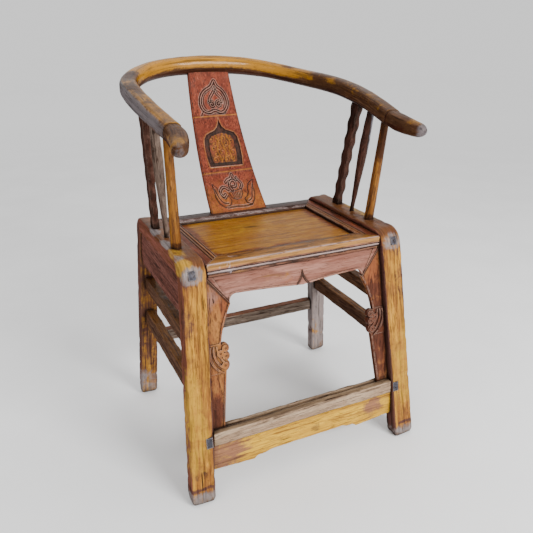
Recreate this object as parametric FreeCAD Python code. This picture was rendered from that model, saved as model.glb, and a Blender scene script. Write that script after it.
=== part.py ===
import FreeCAD, Part
import math
import os

# Horseshoe back armchair with two bent side frames, in millimetres.
# X runs to the sitter's left and right, Y from the front to the back, Z up. While the
# pieces are made, Y is 0 half way between the legs at the top. At the end the whole chair
# moves along Y so that its origin is on the floor, at the middle of its outline.

Vec = FreeCAD.Vector
os.makedirs("parts", exist_ok=True)

# clearances and cutting allowances
joint_gap = 0.1            # all round a tenon in its mortise, and at its end
cut_overrun = 40.0         # how far a cutting block reaches past what it cuts
point_tolerance = 0.001    # two points closer than this are one
flat_tolerance = 0.000001  # four corners this near to a plane make one flat face

# side frames: front leg, side rail and rear leg bent from one timber
frame_height = 500.0       # top of the bent rail above the floor
frame_depth = 353.0        # over the legs' outer faces at the top
frame_half_front = 245.5   # from the middle to the outer face, top, at the front
frame_half_rear = 250.5    # the same at the rear
foot_spread = 32.0         # how far each foot stands out sideways from the top
front_rake = 80.0          # how far the front feet stand forward of the top
rear_rake = 24.0           # how far the rear feet stand back from the top
leg_width_front = 49.0
leg_width_rear = 43.0
timber_depth = 35.0        # thickness of the timber across the bend
rear_leg_depth = 33.0      # of the rear leg at the top, from front to back
rear_foot_depth = 27.0     # of the rear leg at the floor
edge_chamfer = 2.6         # worn edges of the bent timber
foot_chamfer = 2.4         # worn edges of the feet
bend_radius = 38.0         # outside of the bend
inner_bend_radius = 9.0

# seat frame: four mitred rails between the side frames
seat_drop = 13.0           # top of the rails below the top of the bent rail
rail_thick = 27.0
front_rail_width = 42.0
side_rail_width = 38.0
rear_rail_width = 53.0
seat_front_setback = 4.0   # front of the seat frame behind the legs' top corner
seat_rear_setback = 16.0   # rear of the seat frame in front of the legs' top corner
rail_tenon_thick = 10.0
rail_tenon_high = 15.0
rail_tenon_length = 26.0   # into the side frame
rail_tenon_setback = 13.0  # from the rail's outer edge to the tenon
nose_depth = 3.0           # how far the front moulding stands out
nose_high = 14.0
bead_radius = 2.0
quirk = 1.2                # small groove beside a bead
side_bead_width = 3.4
side_bead_depth = 1.5
side_bead_margin = 2.2     # flat strip between the opening and the first bead

# seat panel: two boards in grooves, on two battens
panel_drop = 7.0           # top of the panel below the rails' top
panel_thick = 10.0
panel_tongue = 5.0         # thickness in the groove
panel_groove = 6.0         # depth of the groove
front_board_share = 0.26   # of the opening, up to the seam
batten_width = 26.0
batten_high = 11.0
batten_tenon_high = 6.0
batten_tenon_length = 8.0
batten_shoulder = 2.0      # beside and under the tenon
batten_place_share = 0.5   # of the opening's half width

# front apron and its two upright spandrels, in the rake of the front legs
apron_thick = 10.0
apron_setback = 15.0       # behind the front faces of the legs
apron_tongue = 5.0         # into the legs and the foot rail
apron_middle_drop = 50.0   # from the rails down to the lower edge, at the middle
apron_end_drop = 40.0      # the same near the corners
apron_shoulder = 13.0      # round shoulder of the opening's upper corner
apron_sag = 1.6            # how far the lower edge stays above a straight line
corner_width = 49.5        # spandrel width at the foot of the mitre
corner_drop = 58.0         # foot of the mitre below the rails
neck_width = 38.5          # on the hollow curve between mitre and waist
neck_drop = 85.0
waist_width = 27.0
waist_drop = 138.0
cloud_high = 55.0          # carved cloud head of three lobes
cloud_reach = 45.0         # from the leg to the lobes' tips
lobe_end_shares = (0.27, 0.6, 1.0)       # of the cloud's height, down to each notch
lobe_reach_shares = (0.97, 1.0, 0.98)    # of the cloud's reach, at each lobe
lobe_notch_shares = (0.87, 0.89, 0.83)   # of the cloud's reach, at the notch below each lobe
disc_reach_shares = (0.79, 0.8, 0.76, 0.55)  # centres of the raised rounds
disc_drop_shares = (0.14, 0.43, 0.78, 0.3)
disc_radius = 7.6
disc_eye_share = 0.34
disc_sides = 12
cloud_relief = 2.2
rib_wide = 3.0             # three ribs sweep under the cloud from the leg to the edge
rib_start_shares = (0.1, 0.24, 0.38)     # of the cloud's reach
rib_middle_shares = (0.2, 0.34, 0.5)
rib_end_shares = (0.71, 0.78, 0.86)
rib_middle_drop_shares = (0.66, 0.52, 0.36)  # of the cloud's height
rib_end_drop_shares = (1.06, 0.92, 0.78)
stem_foot_width = 30.0
edge_bead = 3.6            # raised bead along the carved edges
field_sink = 1.5           # field sunk behind the bead
leaf_offset = 9.0          # the leaf was carved a little to the right of the middle
leaf_half_width = 17.5     # pointed leaf on the apron's lower edge
leaf_high = 32.0
leaf_ridge = 3.4
leaf_hollow_shares = (0.3, 0.55)         # how far its sides are hollow
leaf_tip_share = 0.37                    # of its height, for the ridge at the tip

# side aprons
side_apron_thick = 11.0
side_apron_inset = 4.0     # behind the outer face of the side frame
side_apron_drop = 77.0     # lower edge below the bent rail's underside
side_apron_round = 24.0
side_apron_tongue = 5.0

# rear apron
rear_apron_thick = 11.0
rear_apron_inset = 20.0    # behind the rear legs' outer faces
rear_apron_drop = 46.0
rear_apron_round = 20.0

# foot rail and the shaped apron under it
foot_rail_top = 149.0
foot_rail_high = 32.0
foot_rail_depth = 28.0
foot_rail_setback = 3.0    # behind the front faces of the legs
foot_tenon_thick = 12.0
foot_tenon_high = 22.0
foot_tenon_length = 32.0
foot_apron_thick = 12.0
foot_apron_setback = 2.5   # behind the front of the foot rail
foot_apron_middle = 54.0   # depth under the rail, middle
foot_apron_end = 57.0      # depth at the legs
foot_apron_drop = 66.0     # depth at the lowest point
foot_cusp_from_leg = 92.0  # lowest point, from the leg
foot_cusp_width = 36.0
cusp_across_shares = (0.25, 0.45, 0.75)
cusp_down_shares = (0.58, 0.55, 0.68)

# side and rear stretchers
stretcher_thick = 22.0
stretcher_inset = 13.0     # behind the outer face of the side frame
side_upper_gap = 43.0       # below the side apron
side_upper_high = 31.0
side_lower_gap = 58.0       # below the upper stretcher
side_lower_high = 36.0
rear_upper_drop = 160.0     # below the seat rails
rear_upper_high = 32.0
rear_lower_top = 180.0
rear_lower_high = 31.0
rear_stretcher_inset = 7.0  # behind the rear legs' front faces
stretcher_tenon_thick = 11.0
stretcher_tenon_length = 20.0
stretcher_shoulder = 4.0    # above and below the tenon
tongue_end_gap = 10.0       # from the end of a side apron's tongue to the leg

# square pegs, each a head in the leg and a nose through the tenon
peg_proud = 0.8
corner_peg_wide = 15.0
corner_peg_high = 17.0
corner_peg_drop = 26.0      # below the top of the bent rail
corner_peg_inset = 18.0     # from the leg's outer face
foot_peg_wide = 14.0
foot_peg_high = 23.0
foot_peg_inset = 10.0       # from the leg's inner face
peg_nose = 7.0

# crest rail: one smooth path through the middle of the back, the corners and the arms
crest_back_y = 351.0
crest_back_z = 823.0
crest_half_width = 250.0
crest_end_y = -132.0
crest_drop = 95.2
crest_width_shares = (0, 0.62, 0.851, 0.992, 0.986, 0.934)
crest_reach_shares = (1, 0.943, 0.8, 0.492, 0.221, 0)
crest_fall_shares = (0, 0.131, 0.294, 0.487, 0.729, 1)
crest_back_wide = 41.0
crest_back_high = 45.0
crest_arm_wide = 38.5
crest_arm_high = 38.0
crest_end_wide = 35.0
crest_end_high = 33.0
crest_round_shares = (0.9, 0.6, 0.66)    # of the half thickness, at back, arm and end
crest_stations = 18                      # sections on each side of the middle
corner_facets = 3                        # flats on each rounded corner of a section

# hand grips scarfed to the ends of the crest rail
grip_length = 98.0
grip_wide = 34.0
grip_high = 31.0
grip_turn_out = 30.0        # how far the tip turns outwards
grip_fall = 19.5
grip_lead = 42.0            # straight run before it turns
grip_round_share = 0.8
grip_dome_share = 0.84      # where the rounded end begins
grip_shares = (0, 0.24, 0.46, 0.66, 0.84, 0.89, 0.93, 0.96, 0.985, 1)
grip_tip_share = 0.17       # size of the last flat
grip_tenon = 13.0
grip_tenon_length = 18.0
grip_tenon_lap = 6.0        # the tenon's root inside the grip

# arm posts, front, middle and rear, on each side
post_tenon_length = 16.0
post_sides = 14
post_stations = 8            # sections along a turned post
front_post_y = -84.0
front_post_top_y = -107.0
front_post_inset = 18.8     # from the frame's outer face to the axis
front_post_foot_dia = 21.5
front_post_top_dia = 16.5
front_post_tenon_dia = 11.0
middle_post_y = -13.0
middle_post_top_y = -47.0
middle_post_inset = 19.8
middle_post_foot_dia = 9.5
middle_post_waist_dia = 14.5
middle_post_belly_dia = 21.0
middle_post_top_dia = 15.0
middle_post_tenon_dia = 8.0
middle_post_height_shares = (0.3, 0.66)
rear_post_y = 61.0
rear_post_top_y = 13.0
rear_post_inset = 15.5
rear_post_wide = 28.0
rear_post_foot_wide = 23.0
rear_post_thick = 15.0
rear_post_wave = 2.2
rear_post_waves = 7
rear_post_tenon_thick = 9.0
rear_post_tenon_wide = 14.0

# back splat: one board, bent in profile, in three fields
splat_foot_setback = 20.0   # foot's front face, from the rear of the seat frame
splat_foot_half = 74.0
splat_top_half = 54.5
splat_thick = 12.5
splat_bulge = 22.0          # how far the curve stands behind its chord
splat_top_in = 13.0         # front face in front of the crest rail's middle, at the top
splat_tenon_thick = 9.0
splat_tenon_length = 14.0
splat_tenon_margin = 12.0
splat_rib_wide = 4.5
splat_rib_high = 1.8
splat_tenon_place_share = 0.62     # of the thickness, from the front face to the foot's tenon
splat_tenon_root_share = 0.9       # of the height, where the upper tenon starts
splat_foot_share = -0.06           # of the height, where the board is cut to the rail
splat_rib_shares = (0.268, 0.677)  # heights of the two ribs
arch_half = 42.0            # arched frame of the middle field
arch_foot_gap = 13.0
arch_head_gap = 9.0
arch_line = 6.0             # width of its sunk line
arch_x_shares = (0.9, 1.0, 1.0, 0.97, 0.85, 0.5, 0.27, 0.09, 0)
arch_z_shares = (0, 0.06, 0.6, 0.69, 0.735, 0.75, 0.8, 0.88, 1)
medallion_half = 35.0       # pointed round frame of the top field
medallion_high = 72.0
medallion_drop = 79.0       # from its middle up to the crest rail's middle
medallion_line = 4.0
medallion_x_shares = (0, 0.6, 0.9, 1.0, 0.86, 0.6, 0.26, 0.08, 0)
medallion_z_shares = (0, 0.06, 0.25, 0.45, 0.67, 0.83, 0.89, 0.94, 1)
motif_half = 55.0           # bottom field: a bowl between two flames
motif_high = 58.0
motif_gap = 8.0             # above the rail
flame_x_shares = (0.3, 0.66, 0.86, 0.8, 1.0, 0.72, 0.66, 0.56, 0.42)
flame_z_shares = (0, 0.12, 0.5, 0.78, 1.0, 0.74, 0.5, 0.26, 0.08)
bowl_x_shares = (0.2, 0.36, 0.4, 0.3, 0.26, 0.12, 0)
bowl_z_shares = (0.06, 0.2, 0.44, 0.56, 0.78, 0.72, 0.96)
bowl_line = 3.4
sunk_line = 1.5             # depth of the sunk lines
raised_figure = 2.0         # height of flames and bowl

# plain shares
half_share = 0.5
arc_middle_share = 1 - math.sqrt(half_share)  # of the radius, from a square corner's edges to its arc

# worked out from the sizes above
half_depth = frame_depth / 2
lean_angle = math.degrees(math.atan(foot_spread / frame_height))
lean_sin = math.sin(math.radians(lean_angle))
lean_cos = math.cos(math.radians(lean_angle))
rake_angle = math.degrees(math.atan(front_rake / frame_height))
rake_cos = math.cos(math.radians(rake_angle))
front_leg_run = timber_depth / rake_cos
pivot_x = (frame_half_front + frame_half_rear) / 2
seat_top = frame_height - seat_drop
seat_under = seat_top - rail_thick
seat_front = -half_depth + seat_front_setback
seat_rear = half_depth - seat_rear_setback
open_front = seat_front + front_rail_width
open_rear = seat_rear - rear_rail_width
panel_top = seat_top - panel_drop
panel_under = panel_top - panel_thick
foot_rail_under = foot_rail_top - foot_rail_high
wide = frame_half_rear + foot_spread + cut_overrun
tall = crest_back_z + cut_overrun


# helpers

def box(x0, x1, y0, y1, z0, z1):
    """Box between two corners."""
    return Part.makeBox(x1 - x0, y1 - y0, z1 - z0, Vec(x0, y0, z0))


def rounded(points, radii):
    """Closed wire through corner points, with a tangent arc at each corner that has a radius."""
    count = len(points)
    ends = []
    for i in range(count):
        corner = points[i]
        before = (points[i - 1] - corner).normalize()
        after = (points[(i + 1) % count] - corner).normalize()
        radius = radii[i]
        if radius > 0:
            half = before.getAngle(after) / 2
            reach = radius / math.tan(half)
            middle = corner + (before + after).normalize() * (radius / math.sin(half) - radius)
            ends.append((corner + before * reach, middle, corner + after * reach))
        else:
            ends.append((corner, None, corner))
    edges = []
    for i in range(count):
        first, middle, last = ends[i]
        if middle is not None:
            edges.append(Part.Arc(first, middle, last).toShape())
        follow = ends[(i + 1) % count][0]
        if (follow - last).Length > point_tolerance:
            edges.append(Part.makeLine(last, follow))
    return Part.Wire(edges)


def path(start, steps):
    """Closed wire from straight steps, each a point, and arcs, each a middle and an end."""
    edges = []
    here = start
    for step in steps:
        if isinstance(step, tuple):
            edges.append(Part.Arc(here, step[0], step[1]).toShape())
            here = step[1]
        else:
            edges.append(Part.makeLine(here, step))
            here = step
    if (here - start).Length > point_tolerance:
        edges.append(Part.makeLine(here, start))
    return Part.Wire(edges)


def prism(wire, direction):
    """Solid from a flat closed wire moved along a direction."""
    return Part.Face(wire).extrude(direction)


def faceted(rings):
    """Solid through rings of points, with one flat face between four corners in a plane, or else two."""
    loops = [rings[0], rings[-1]]
    for low, high in zip(rings[:-1], rings[1:]):
        for i in range(len(low)):
            a, b, c, d = low[i - 1], low[i], high[i], high[i - 1]
            normal = (b - a).cross(d - a).normalize()
            if abs((c - a).dot(normal)) < flat_tolerance:
                loops.append([a, b, c, d])
            else:
                loops.append([a, b, c])
                loops.append([a, c, d])
    shell = Part.Shell([Part.Face(Part.makePolygon(loop + loop[:1])) for loop in loops])
    shell.sewShape()
    solid = Part.Solid(shell)
    if solid.Volume < 0:
        solid.reverse()
    return solid


def mirrored(shape):
    """The same piece on the other side of the chair."""
    return shape.mirror(Vec(0, 0, 0), Vec(1, 0, 0))


def both(shape):
    """A cutting block together with its mirror image."""
    return [shape, mirrored(shape)]


def one(shape):
    """The single solid of a result, cleaned of seams."""
    solids = shape.Solids
    largest = max(solids, key=lambda s: s.Volume)
    return largest.removeSplitter()


def fused(first, *others):
    """Several overlapping solids as one."""
    return one(first.fuse(list(others)))


# side frames: these are drawn upright and then leaned, so that the feet stand out

def outer_face_x(y):
    """Outer face of the upright side frame."""
    return frame_half_front + (frame_half_rear - frame_half_front) * (y + half_depth) / frame_depth


def inner_face_x(y):
    """Inner face of the upright side frame."""
    leg = leg_width_front + (leg_width_rear - leg_width_front) * (y + half_depth) / frame_depth
    return outer_face_x(y) - leg


def leaned(shape):
    """Turns an upright side piece about the top of its frame."""
    return shape.rotate(Vec(pivot_x, 0, frame_height), Vec(0, 1, 0), -lean_angle)


def inner_x(y, z):
    """Inner face of the leaned side frame at a place in the finished chair."""
    across = inner_face_x(y) - pivot_x
    down = (z - frame_height - across * lean_sin) / lean_cos
    return pivot_x + across * lean_cos - down * lean_sin


def front_outer_y(z):
    """Front face of the front legs."""
    return -half_depth - front_rake * (1 - z / frame_height)


def rear_outer_y(z):
    """Rear face of the rear legs."""
    return half_depth + rear_rake * (1 - z / frame_height)


def front_inner_y(z):
    """Rear face of the front legs."""
    return front_outer_y(z) + front_leg_run


def rear_inner_y(z):
    """Front face of the rear legs."""
    return rear_outer_y(z) - rear_foot_depth - (rear_leg_depth - rear_foot_depth) * z / frame_height


def plan_prism(low, high):
    """Upright block between two faces, each given as x at a y."""
    far = frame_depth
    corners = [Vec(low(-far), -far, -tall), Vec(high(-far), -far, -tall),
               Vec(high(far), far, -tall), Vec(low(far), far, -tall)]
    return prism(Part.makePolygon(corners + corners[:1]), Vec(0, 0, tall + tall))


def side_piece(wire, low, high):
    """Leaned side piece: a side view cut to two faces in plan."""
    block = prism(wire, Vec(wide, 0, 0))
    return leaned(one(block.common(plan_prism(low, high))))


def side_point(y, z):
    """Point of a side view."""
    return Vec(0, y, z)


def front_point(x, z):
    """Point of a front view."""
    return Vec(x, 0, z)


def beyond(depth):
    """Blocks outside both side frames' inner faces, from a depth inside the timber."""
    block = leaned(plan_prism(lambda y: inner_face_x(y) + depth, lambda y: wide + wide))
    return both(block)


rail_under = frame_height - timber_depth
frame_corners = [
    side_point(front_outer_y(-cut_overrun), -cut_overrun),
    side_point(front_outer_y(frame_height), frame_height),
    side_point(rear_outer_y(frame_height), frame_height),
    side_point(rear_outer_y(-cut_overrun), -cut_overrun),
    side_point(rear_inner_y(-cut_overrun), -cut_overrun),
    side_point(rear_inner_y(rail_under), rail_under),
    side_point(front_inner_y(rail_under), rail_under),
    side_point(front_inner_y(-cut_overrun), -cut_overrun),
]
frame_radii = [0, bend_radius, bend_radius, 0, 0, inner_bend_radius, inner_bend_radius, 0]
frame_wire = rounded(frame_corners, frame_radii)
frame_upright = one(prism(frame_wire, Vec(wide, 0, 0)).common(plan_prism(inner_face_x, outer_face_x)))
long_edges = []
for edge in frame_upright.Edges:
    middle = edge.valueAt((edge.FirstParameter + edge.LastParameter) / 2)
    off_face = min(abs(middle.x - inner_face_x(middle.y)), abs(middle.x - outer_face_x(middle.y)))
    if off_face < edge_chamfer / 2 and middle.z > edge_chamfer - cut_overrun:
        long_edges.append(edge)
frame_blank = leaned(frame_upright.makeChamfer(edge_chamfer, long_edges))
floor_block = box(-wide, wide, -frame_depth, frame_depth, -tall, 0)
frame_right = one(frame_blank.cut(floor_block))
foot_edges = [edge for edge in frame_right.Edges if edge.BoundBox.ZMax < point_tolerance * 2]
frame_right = frame_right.makeChamfer(foot_chamfer, foot_edges)
frame_cuts = []


# seat frame

def seat_outer_x(y):
    """Where the seat frame meets the side frame, at the rails' top."""
    return inner_x(y, seat_top)


def opening_x(y):
    """Inner edge of the side rails."""
    return seat_outer_x(y) - side_rail_width


def plan_block(corners):
    """Block over a plan outline, as high as the rails and a little more."""
    low = seat_under - cut_overrun
    points = [Vec(x, y, low) for x, y in corners]
    return prism(Part.makePolygon(points + points[:1]), Vec(0, 0, rail_thick + cut_overrun + cut_overrun))


front_plan = [(-seat_outer_x(seat_front), seat_front - cut_overrun),
              (seat_outer_x(seat_front), seat_front - cut_overrun),
              (seat_outer_x(seat_front), seat_front),
              (opening_x(open_front), open_front),
              (-opening_x(open_front), open_front),
              (-seat_outer_x(seat_front), seat_front)]
rear_plan = [(-seat_outer_x(seat_rear), seat_rear + cut_overrun),
             (seat_outer_x(seat_rear), seat_rear + cut_overrun),
             (seat_outer_x(seat_rear), seat_rear),
             (opening_x(open_rear), open_rear),
             (-opening_x(open_rear), open_rear),
             (-seat_outer_x(seat_rear), seat_rear)]
side_plan = [(opening_x(open_front), open_front),
             (seat_outer_x(seat_front), seat_front),
             (seat_outer_x(seat_front) + cut_overrun, seat_front),
             (seat_outer_x(seat_rear) + cut_overrun, seat_rear),
             (seat_outer_x(seat_rear), seat_rear),
             (opening_x(open_rear), open_rear)]

# front rail: thumb moulding, a quirk, a bead and a plain strip, in side view
bead_top = seat_top - nose_high - quirk
bead_under = bead_top - bead_radius - bead_radius
strip_y = seat_front + nose_depth
front_section = path(side_point(open_front, seat_under), [
    side_point(open_front, seat_top),
    side_point(seat_front + bead_radius, seat_top),
    (side_point(seat_front + bead_radius * arc_middle_share, seat_top - bead_radius * arc_middle_share),
     side_point(seat_front, seat_top - bead_radius)),
    (side_point(seat_front + quirk / 2, seat_top - nose_high / 2),
     side_point(seat_front, bead_top + quirk)),
    side_point(seat_front + quirk, bead_top),
    (side_point(seat_front + quirk - bead_radius, (bead_top + bead_under) / 2),
     side_point(seat_front + quirk, bead_under)),
    side_point(strip_y, bead_under),
    side_point(strip_y, seat_under),
])
front_section.translate(Vec(-wide, 0, 0))
front_rail_blank = one(prism(front_section, Vec(wide + wide, 0, 0)).common(plan_block(front_plan)))


def beaded_section(width, edge):
    """Section of a rail with two sunk beads beside the opening. Its width runs along X."""
    first = side_bead_margin
    steps = [front_point(0, seat_top)]
    for place in (first, first + side_bead_width):
        middle = place + side_bead_width / 2
        steps.append(front_point(place, seat_top))
        steps.append(front_point(place, seat_top - side_bead_depth))
        steps.append((front_point(middle, seat_top), front_point(place + side_bead_width, seat_top - side_bead_depth)))
    steps.append(front_point(first + side_bead_width + side_bead_width, seat_top))
    steps.append(front_point(width + edge, seat_top))
    steps.append(front_point(width + edge, seat_under))
    return path(front_point(0, seat_under), steps)


def seat_edge_rail(width, start, finish):
    """Beaded rail whose inner edge runs from one point of the plan to another."""
    along = finish - start
    section = beaded_section(width, cut_overrun)
    rail = prism(section, Vec(0, along.Length + cut_overrun + cut_overrun, 0))
    rail.translate(Vec(0, -cut_overrun, 0))
    rail.rotate(Vec(0, 0, 0), Vec(0, 0, 1), math.degrees(math.atan2(-along.x, along.y)))
    rail.translate(start)
    return rail


right_edge = seat_edge_rail(side_rail_width, Vec(opening_x(open_front), open_front, 0),
                            Vec(opening_x(open_rear), open_rear, 0))
side_rail_blank = one(right_edge.common(plan_block(side_plan)))
rear_edge = seat_edge_rail(rear_rail_width, Vec(wide, open_rear, 0), Vec(-wide, open_rear, 0))
rear_slice = box(-wide, wide, open_rear - cut_overrun, seat_rear, seat_under, seat_top)
rear_rail_blank = one(rear_edge.common(plan_block(rear_plan)).common(rear_slice))


def rail_tenon(sign, edge_y, grow):
    """Tenon on the end of the front or rear rail, through the side rail into the frame."""
    near = edge_y + sign * rail_tenon_setback
    far = near + sign * rail_tenon_thick
    low_y = min(near, far) - grow
    high_y = max(near, far) + grow
    middle_z = (seat_top + seat_under) / 2
    reach = inner_x(edge_y, seat_top) + rail_tenon_length + grow
    start = opening_x(open_front if sign > 0 else open_rear) - side_rail_width / 2
    return box(start, reach, low_y, high_y,
               middle_z - rail_tenon_high / 2 - grow, middle_z + rail_tenon_high / 2 + grow)


front_tenon = rail_tenon(1, seat_front, 0)
rear_tenon = rail_tenon(-1, seat_rear, 0)
front_mortise = rail_tenon(1, seat_front, joint_gap)
rear_mortise = rail_tenon(-1, seat_rear, joint_gap)
front_rail = fused(front_rail_blank, *both(front_tenon))
rear_rail = fused(rear_rail_blank, *both(rear_tenon))
side_rail = one(side_rail_blank.cut(beyond(0)))
side_rail = one(side_rail.cut([front_mortise, rear_mortise]))
frame_cuts += [front_mortise, rear_mortise]


# panel boards and battens

def opening_block(grow, z0, z1):
    """Block over the seat opening, grown on all four sides."""
    front = open_front - grow
    rear = open_rear + grow
    corners = [(-opening_x(front) - grow, front), (opening_x(front) + grow, front),
               (opening_x(rear) + grow, rear), (-opening_x(rear) - grow, rear)]
    points = [Vec(x, y, z0) for x, y in corners]
    return prism(Part.makePolygon(points + points[:1]), Vec(0, 0, z1 - z0))


tongue_top = panel_under + panel_tongue
panel_field = opening_block(-joint_gap, panel_under, panel_top)
panel_edge = opening_block(panel_groove - joint_gap, panel_under, tongue_top)
panel_whole = fused(panel_field, panel_edge)
panel_slot = opening_block(panel_groove, panel_under - joint_gap, tongue_top + joint_gap)
seam_y = open_front + front_board_share * (open_rear - open_front)
panel_front = one(panel_whole.common(box(-wide, wide, -frame_depth, seam_y, 0, tall)))
panel_rear = one(panel_whole.common(box(-wide, wide, seam_y, frame_depth, 0, tall)))
batten_x = batten_place_share * opening_x(0)
batten_under = panel_under - batten_high


def batten_shape(grow):
    """Batten under the panel with a tenon at each end; grown for the mortises."""
    body = box(batten_x - batten_width / 2, batten_x + batten_width / 2, open_front, open_rear,
               batten_under, panel_under - joint_gap)
    low = (batten_under + seat_under + joint_gap) / 2
    low = max(low, seat_under + batten_shoulder)
    tenon = box(batten_x - batten_width / 2 + batten_shoulder - grow,
                batten_x + batten_width / 2 - batten_shoulder + grow,
                open_front - batten_tenon_length - grow, open_rear + batten_tenon_length + grow,
                low - grow, low + batten_tenon_high + grow)
    return body, tenon


batten_body, batten_tenon = batten_shape(0)
batten_right = fused(batten_body, batten_tenon)
batten_mortise = batten_shape(joint_gap)[1]
for cutter in [panel_slot] + both(batten_mortise):
    front_rail = one(front_rail.cut(cutter))
    rear_rail = one(rear_rail.cut(cutter))
side_rail = one(side_rail.cut(panel_slot))


# front apron and spandrels: drawn upright in a front view, then tilted to the legs' rake

apron_plane_y = front_outer_y(seat_under) + apron_setback


def fall(drop):
    """Drop measured down the raked plane for a plain drop below the rails."""
    return seat_under - drop / rake_cos


def flip(point):
    """The same point on the left."""
    return Vec(-point.x, point.y, point.z)


def tilted(shape):
    """Tilts an upright front piece to the rake of the front legs."""
    return shape.rotate(Vec(0, apron_plane_y, seat_under), Vec(1, 0, 0), -rake_angle)


def raked_inner_x(drop):
    """Inner face of the leg beside the apron's plane, at a drop below the rails."""
    z = seat_under - drop
    return inner_x(front_outer_y(z) + apron_setback, z)


def at(width, drop):
    """Front-view point at a width in from the leg and a drop below the rails."""
    return front_point(raked_inner_x(drop) - width, fall(drop))


def flat(x, drop):
    """Front-view point at an x and a drop below the rails."""
    return front_point(x, fall(drop))


def front_board(wire, y0, thick):
    """Board in the raked plane, its front face y0 behind the plane."""
    board = prism(wire, Vec(0, thick, 0))
    board.translate(Vec(0, apron_plane_y + y0, 0))
    return tilted(board)


corner = at(corner_width, corner_drop)
mitre_top = at(0, 0)
mitre_run = mitre_top - corner
above = corner + mitre_run * (1 + cut_overrun / mitre_run.Length)
shoulder_end_x = corner.x - apron_shoulder


def apron_edge(inset):
    """Lower edge of the apron from the right corner to the middle, moved up by an inset."""
    up = Vec(0, 0, inset)
    side = Vec(inset / 2, 0, 0)
    turn = apron_shoulder * arc_middle_share
    shoulder_drop = apron_end_drop + turn
    middle_x = (shoulder_end_x + leaf_offset) / 2
    middle_drop = (apron_end_drop + apron_middle_drop) / 2 - apron_sag
    return [corner + up + side,
            (flat(corner.x - turn, shoulder_drop) + up + side, flat(shoulder_end_x, apron_end_drop) + up),
            (flat(middle_x, middle_drop) + up, flat(leaf_offset, apron_middle_drop) + up)]


def apron_wire(inset, top):
    """Outline of the front apron; an inset leaves the bead along the lower edge."""
    right = apron_edge(inset)
    start = Vec(above.x, 0, top)
    steps = [right[0], right[1], right[2]]
    steps.append((flip(right[2][0]), flip(right[1][1])))
    steps.append((flip(right[1][0]), flip(right[0])))
    steps.append(flip(start))
    return path(start, steps)


def leaf_wire(inset):
    """Pointed leaf on the apron's lower edge, with hollow sides."""
    half = leaf_half_width - inset
    tip = apron_middle_drop - leaf_high + leaf_high * leaf_tip_share * inset / leaf_ridge
    hollow_x = half * leaf_hollow_shares[0]
    hollow_drop = apron_middle_drop - (apron_middle_drop - tip) * leaf_hollow_shares[1]
    low = apron_middle_drop + cut_overrun
    return path(flat(leaf_offset + half, low), [
        flat(leaf_offset + half, apron_middle_drop),
        (flat(leaf_offset + hollow_x, hollow_drop), flat(leaf_offset, tip)),
        (flat(leaf_offset - hollow_x, hollow_drop), flat(leaf_offset - half, apron_middle_drop)),
        flat(leaf_offset - half, low),
    ])


apron_top = above.z
apron_blank = front_board(apron_wire(0, apron_top), 0, apron_thick)
apron_field = front_board(apron_wire(edge_bead, apron_top + cut_overrun), -cut_overrun, cut_overrun + field_sink)
leaf_outer = front_board(leaf_wire(0), -cut_overrun - cut_overrun, cut_overrun + cut_overrun + apron_thick)
leaf_inner = front_board(leaf_wire(leaf_ridge), -cut_overrun, cut_overrun + field_sink)
apron_field = apron_field.cut(leaf_outer)
over_block = box(-wide, wide, -frame_depth - cut_overrun, 0, seat_under, tall)
front_apron = one(apron_blank.cut([over_block]))
front_apron = one(front_apron.cut(apron_field))
front_apron = one(front_apron.cut(leaf_inner))
front_apron = one(front_apron.cut(beyond(0)))

# spandrel: the inner edge runs from the mitre down past the three lobes to the foot
foot_drop = seat_under - foot_rail_top
cloud_drops = [waist_drop] + [waist_drop + cloud_high * share for share in lobe_end_shares]


def spandrel_edge(inset):
    """Inner edge of the right spandrel, moved towards the leg by an inset."""
    steps = [(at(neck_width - inset, neck_drop), at(waist_width - inset, waist_drop))]
    for i, share in enumerate(lobe_reach_shares):
        middle = (cloud_drops[i] + cloud_drops[i + 1]) / 2
        steps.append((at(cloud_reach * share - inset, middle),
                      at(cloud_reach * lobe_notch_shares[i] - inset, cloud_drops[i + 1])))
    steps.append(at(stem_foot_width - inset, foot_drop))
    return steps


def spandrel_wire(inset):
    """Outline of the right spandrel, its outer edge carried into the leg."""
    steps = [corner + Vec(inset, 0, 0)] + spandrel_edge(inset)
    low = fall(foot_drop + apron_tongue)
    steps.append(Vec(steps[-1].x, 0, low))
    steps.append(Vec(wide, 0, low))
    steps.append(Vec(wide, 0, above.z))
    return path(above + Vec(inset, 0, 0), steps)


def round_wire(centre, radius):
    """Many-sided round in the front view."""
    turns = [math.pi * 2 * k / disc_sides for k in range(disc_sides)]
    points = [centre + Vec(radius * math.cos(turn), 0, radius * math.sin(turn)) for turn in turns]
    return Part.makePolygon(points + points[:1])


def raised_disc(i):
    """Raised round of the cloud head, and its sunk eye."""
    centre = at(cloud_reach * disc_reach_shares[i], waist_drop + cloud_high * disc_drop_shares[i])
    disc = front_board(round_wire(centre, disc_radius), -cloud_relief, cloud_relief + apron_thick / 2)
    eye = front_board(round_wire(centre, disc_radius * disc_eye_share), -cloud_relief, cloud_relief / 2)
    return disc, eye


def rib(i):
    """Raised rib that comes down beside the leg and sweeps out to the inner edge."""
    top = waist_drop
    middle = waist_drop + cloud_high * rib_middle_drop_shares[i]
    end = waist_drop + cloud_high * rib_end_drop_shares[i]
    start_width = cloud_reach * rib_start_shares[i]
    middle_width = cloud_reach * rib_middle_shares[i]
    end_width = cloud_reach * rib_end_shares[i]
    half = rib_wide / 2
    wire = path(at(start_width + half, top), [
        (at(middle_width + half, middle - half), at(end_width, end - half)),
        at(end_width, end + half),
        (at(middle_width - half, middle + half), at(start_width - half, top)),
    ])
    return front_board(wire, -cloud_relief, cloud_relief + apron_thick / 2)


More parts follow.
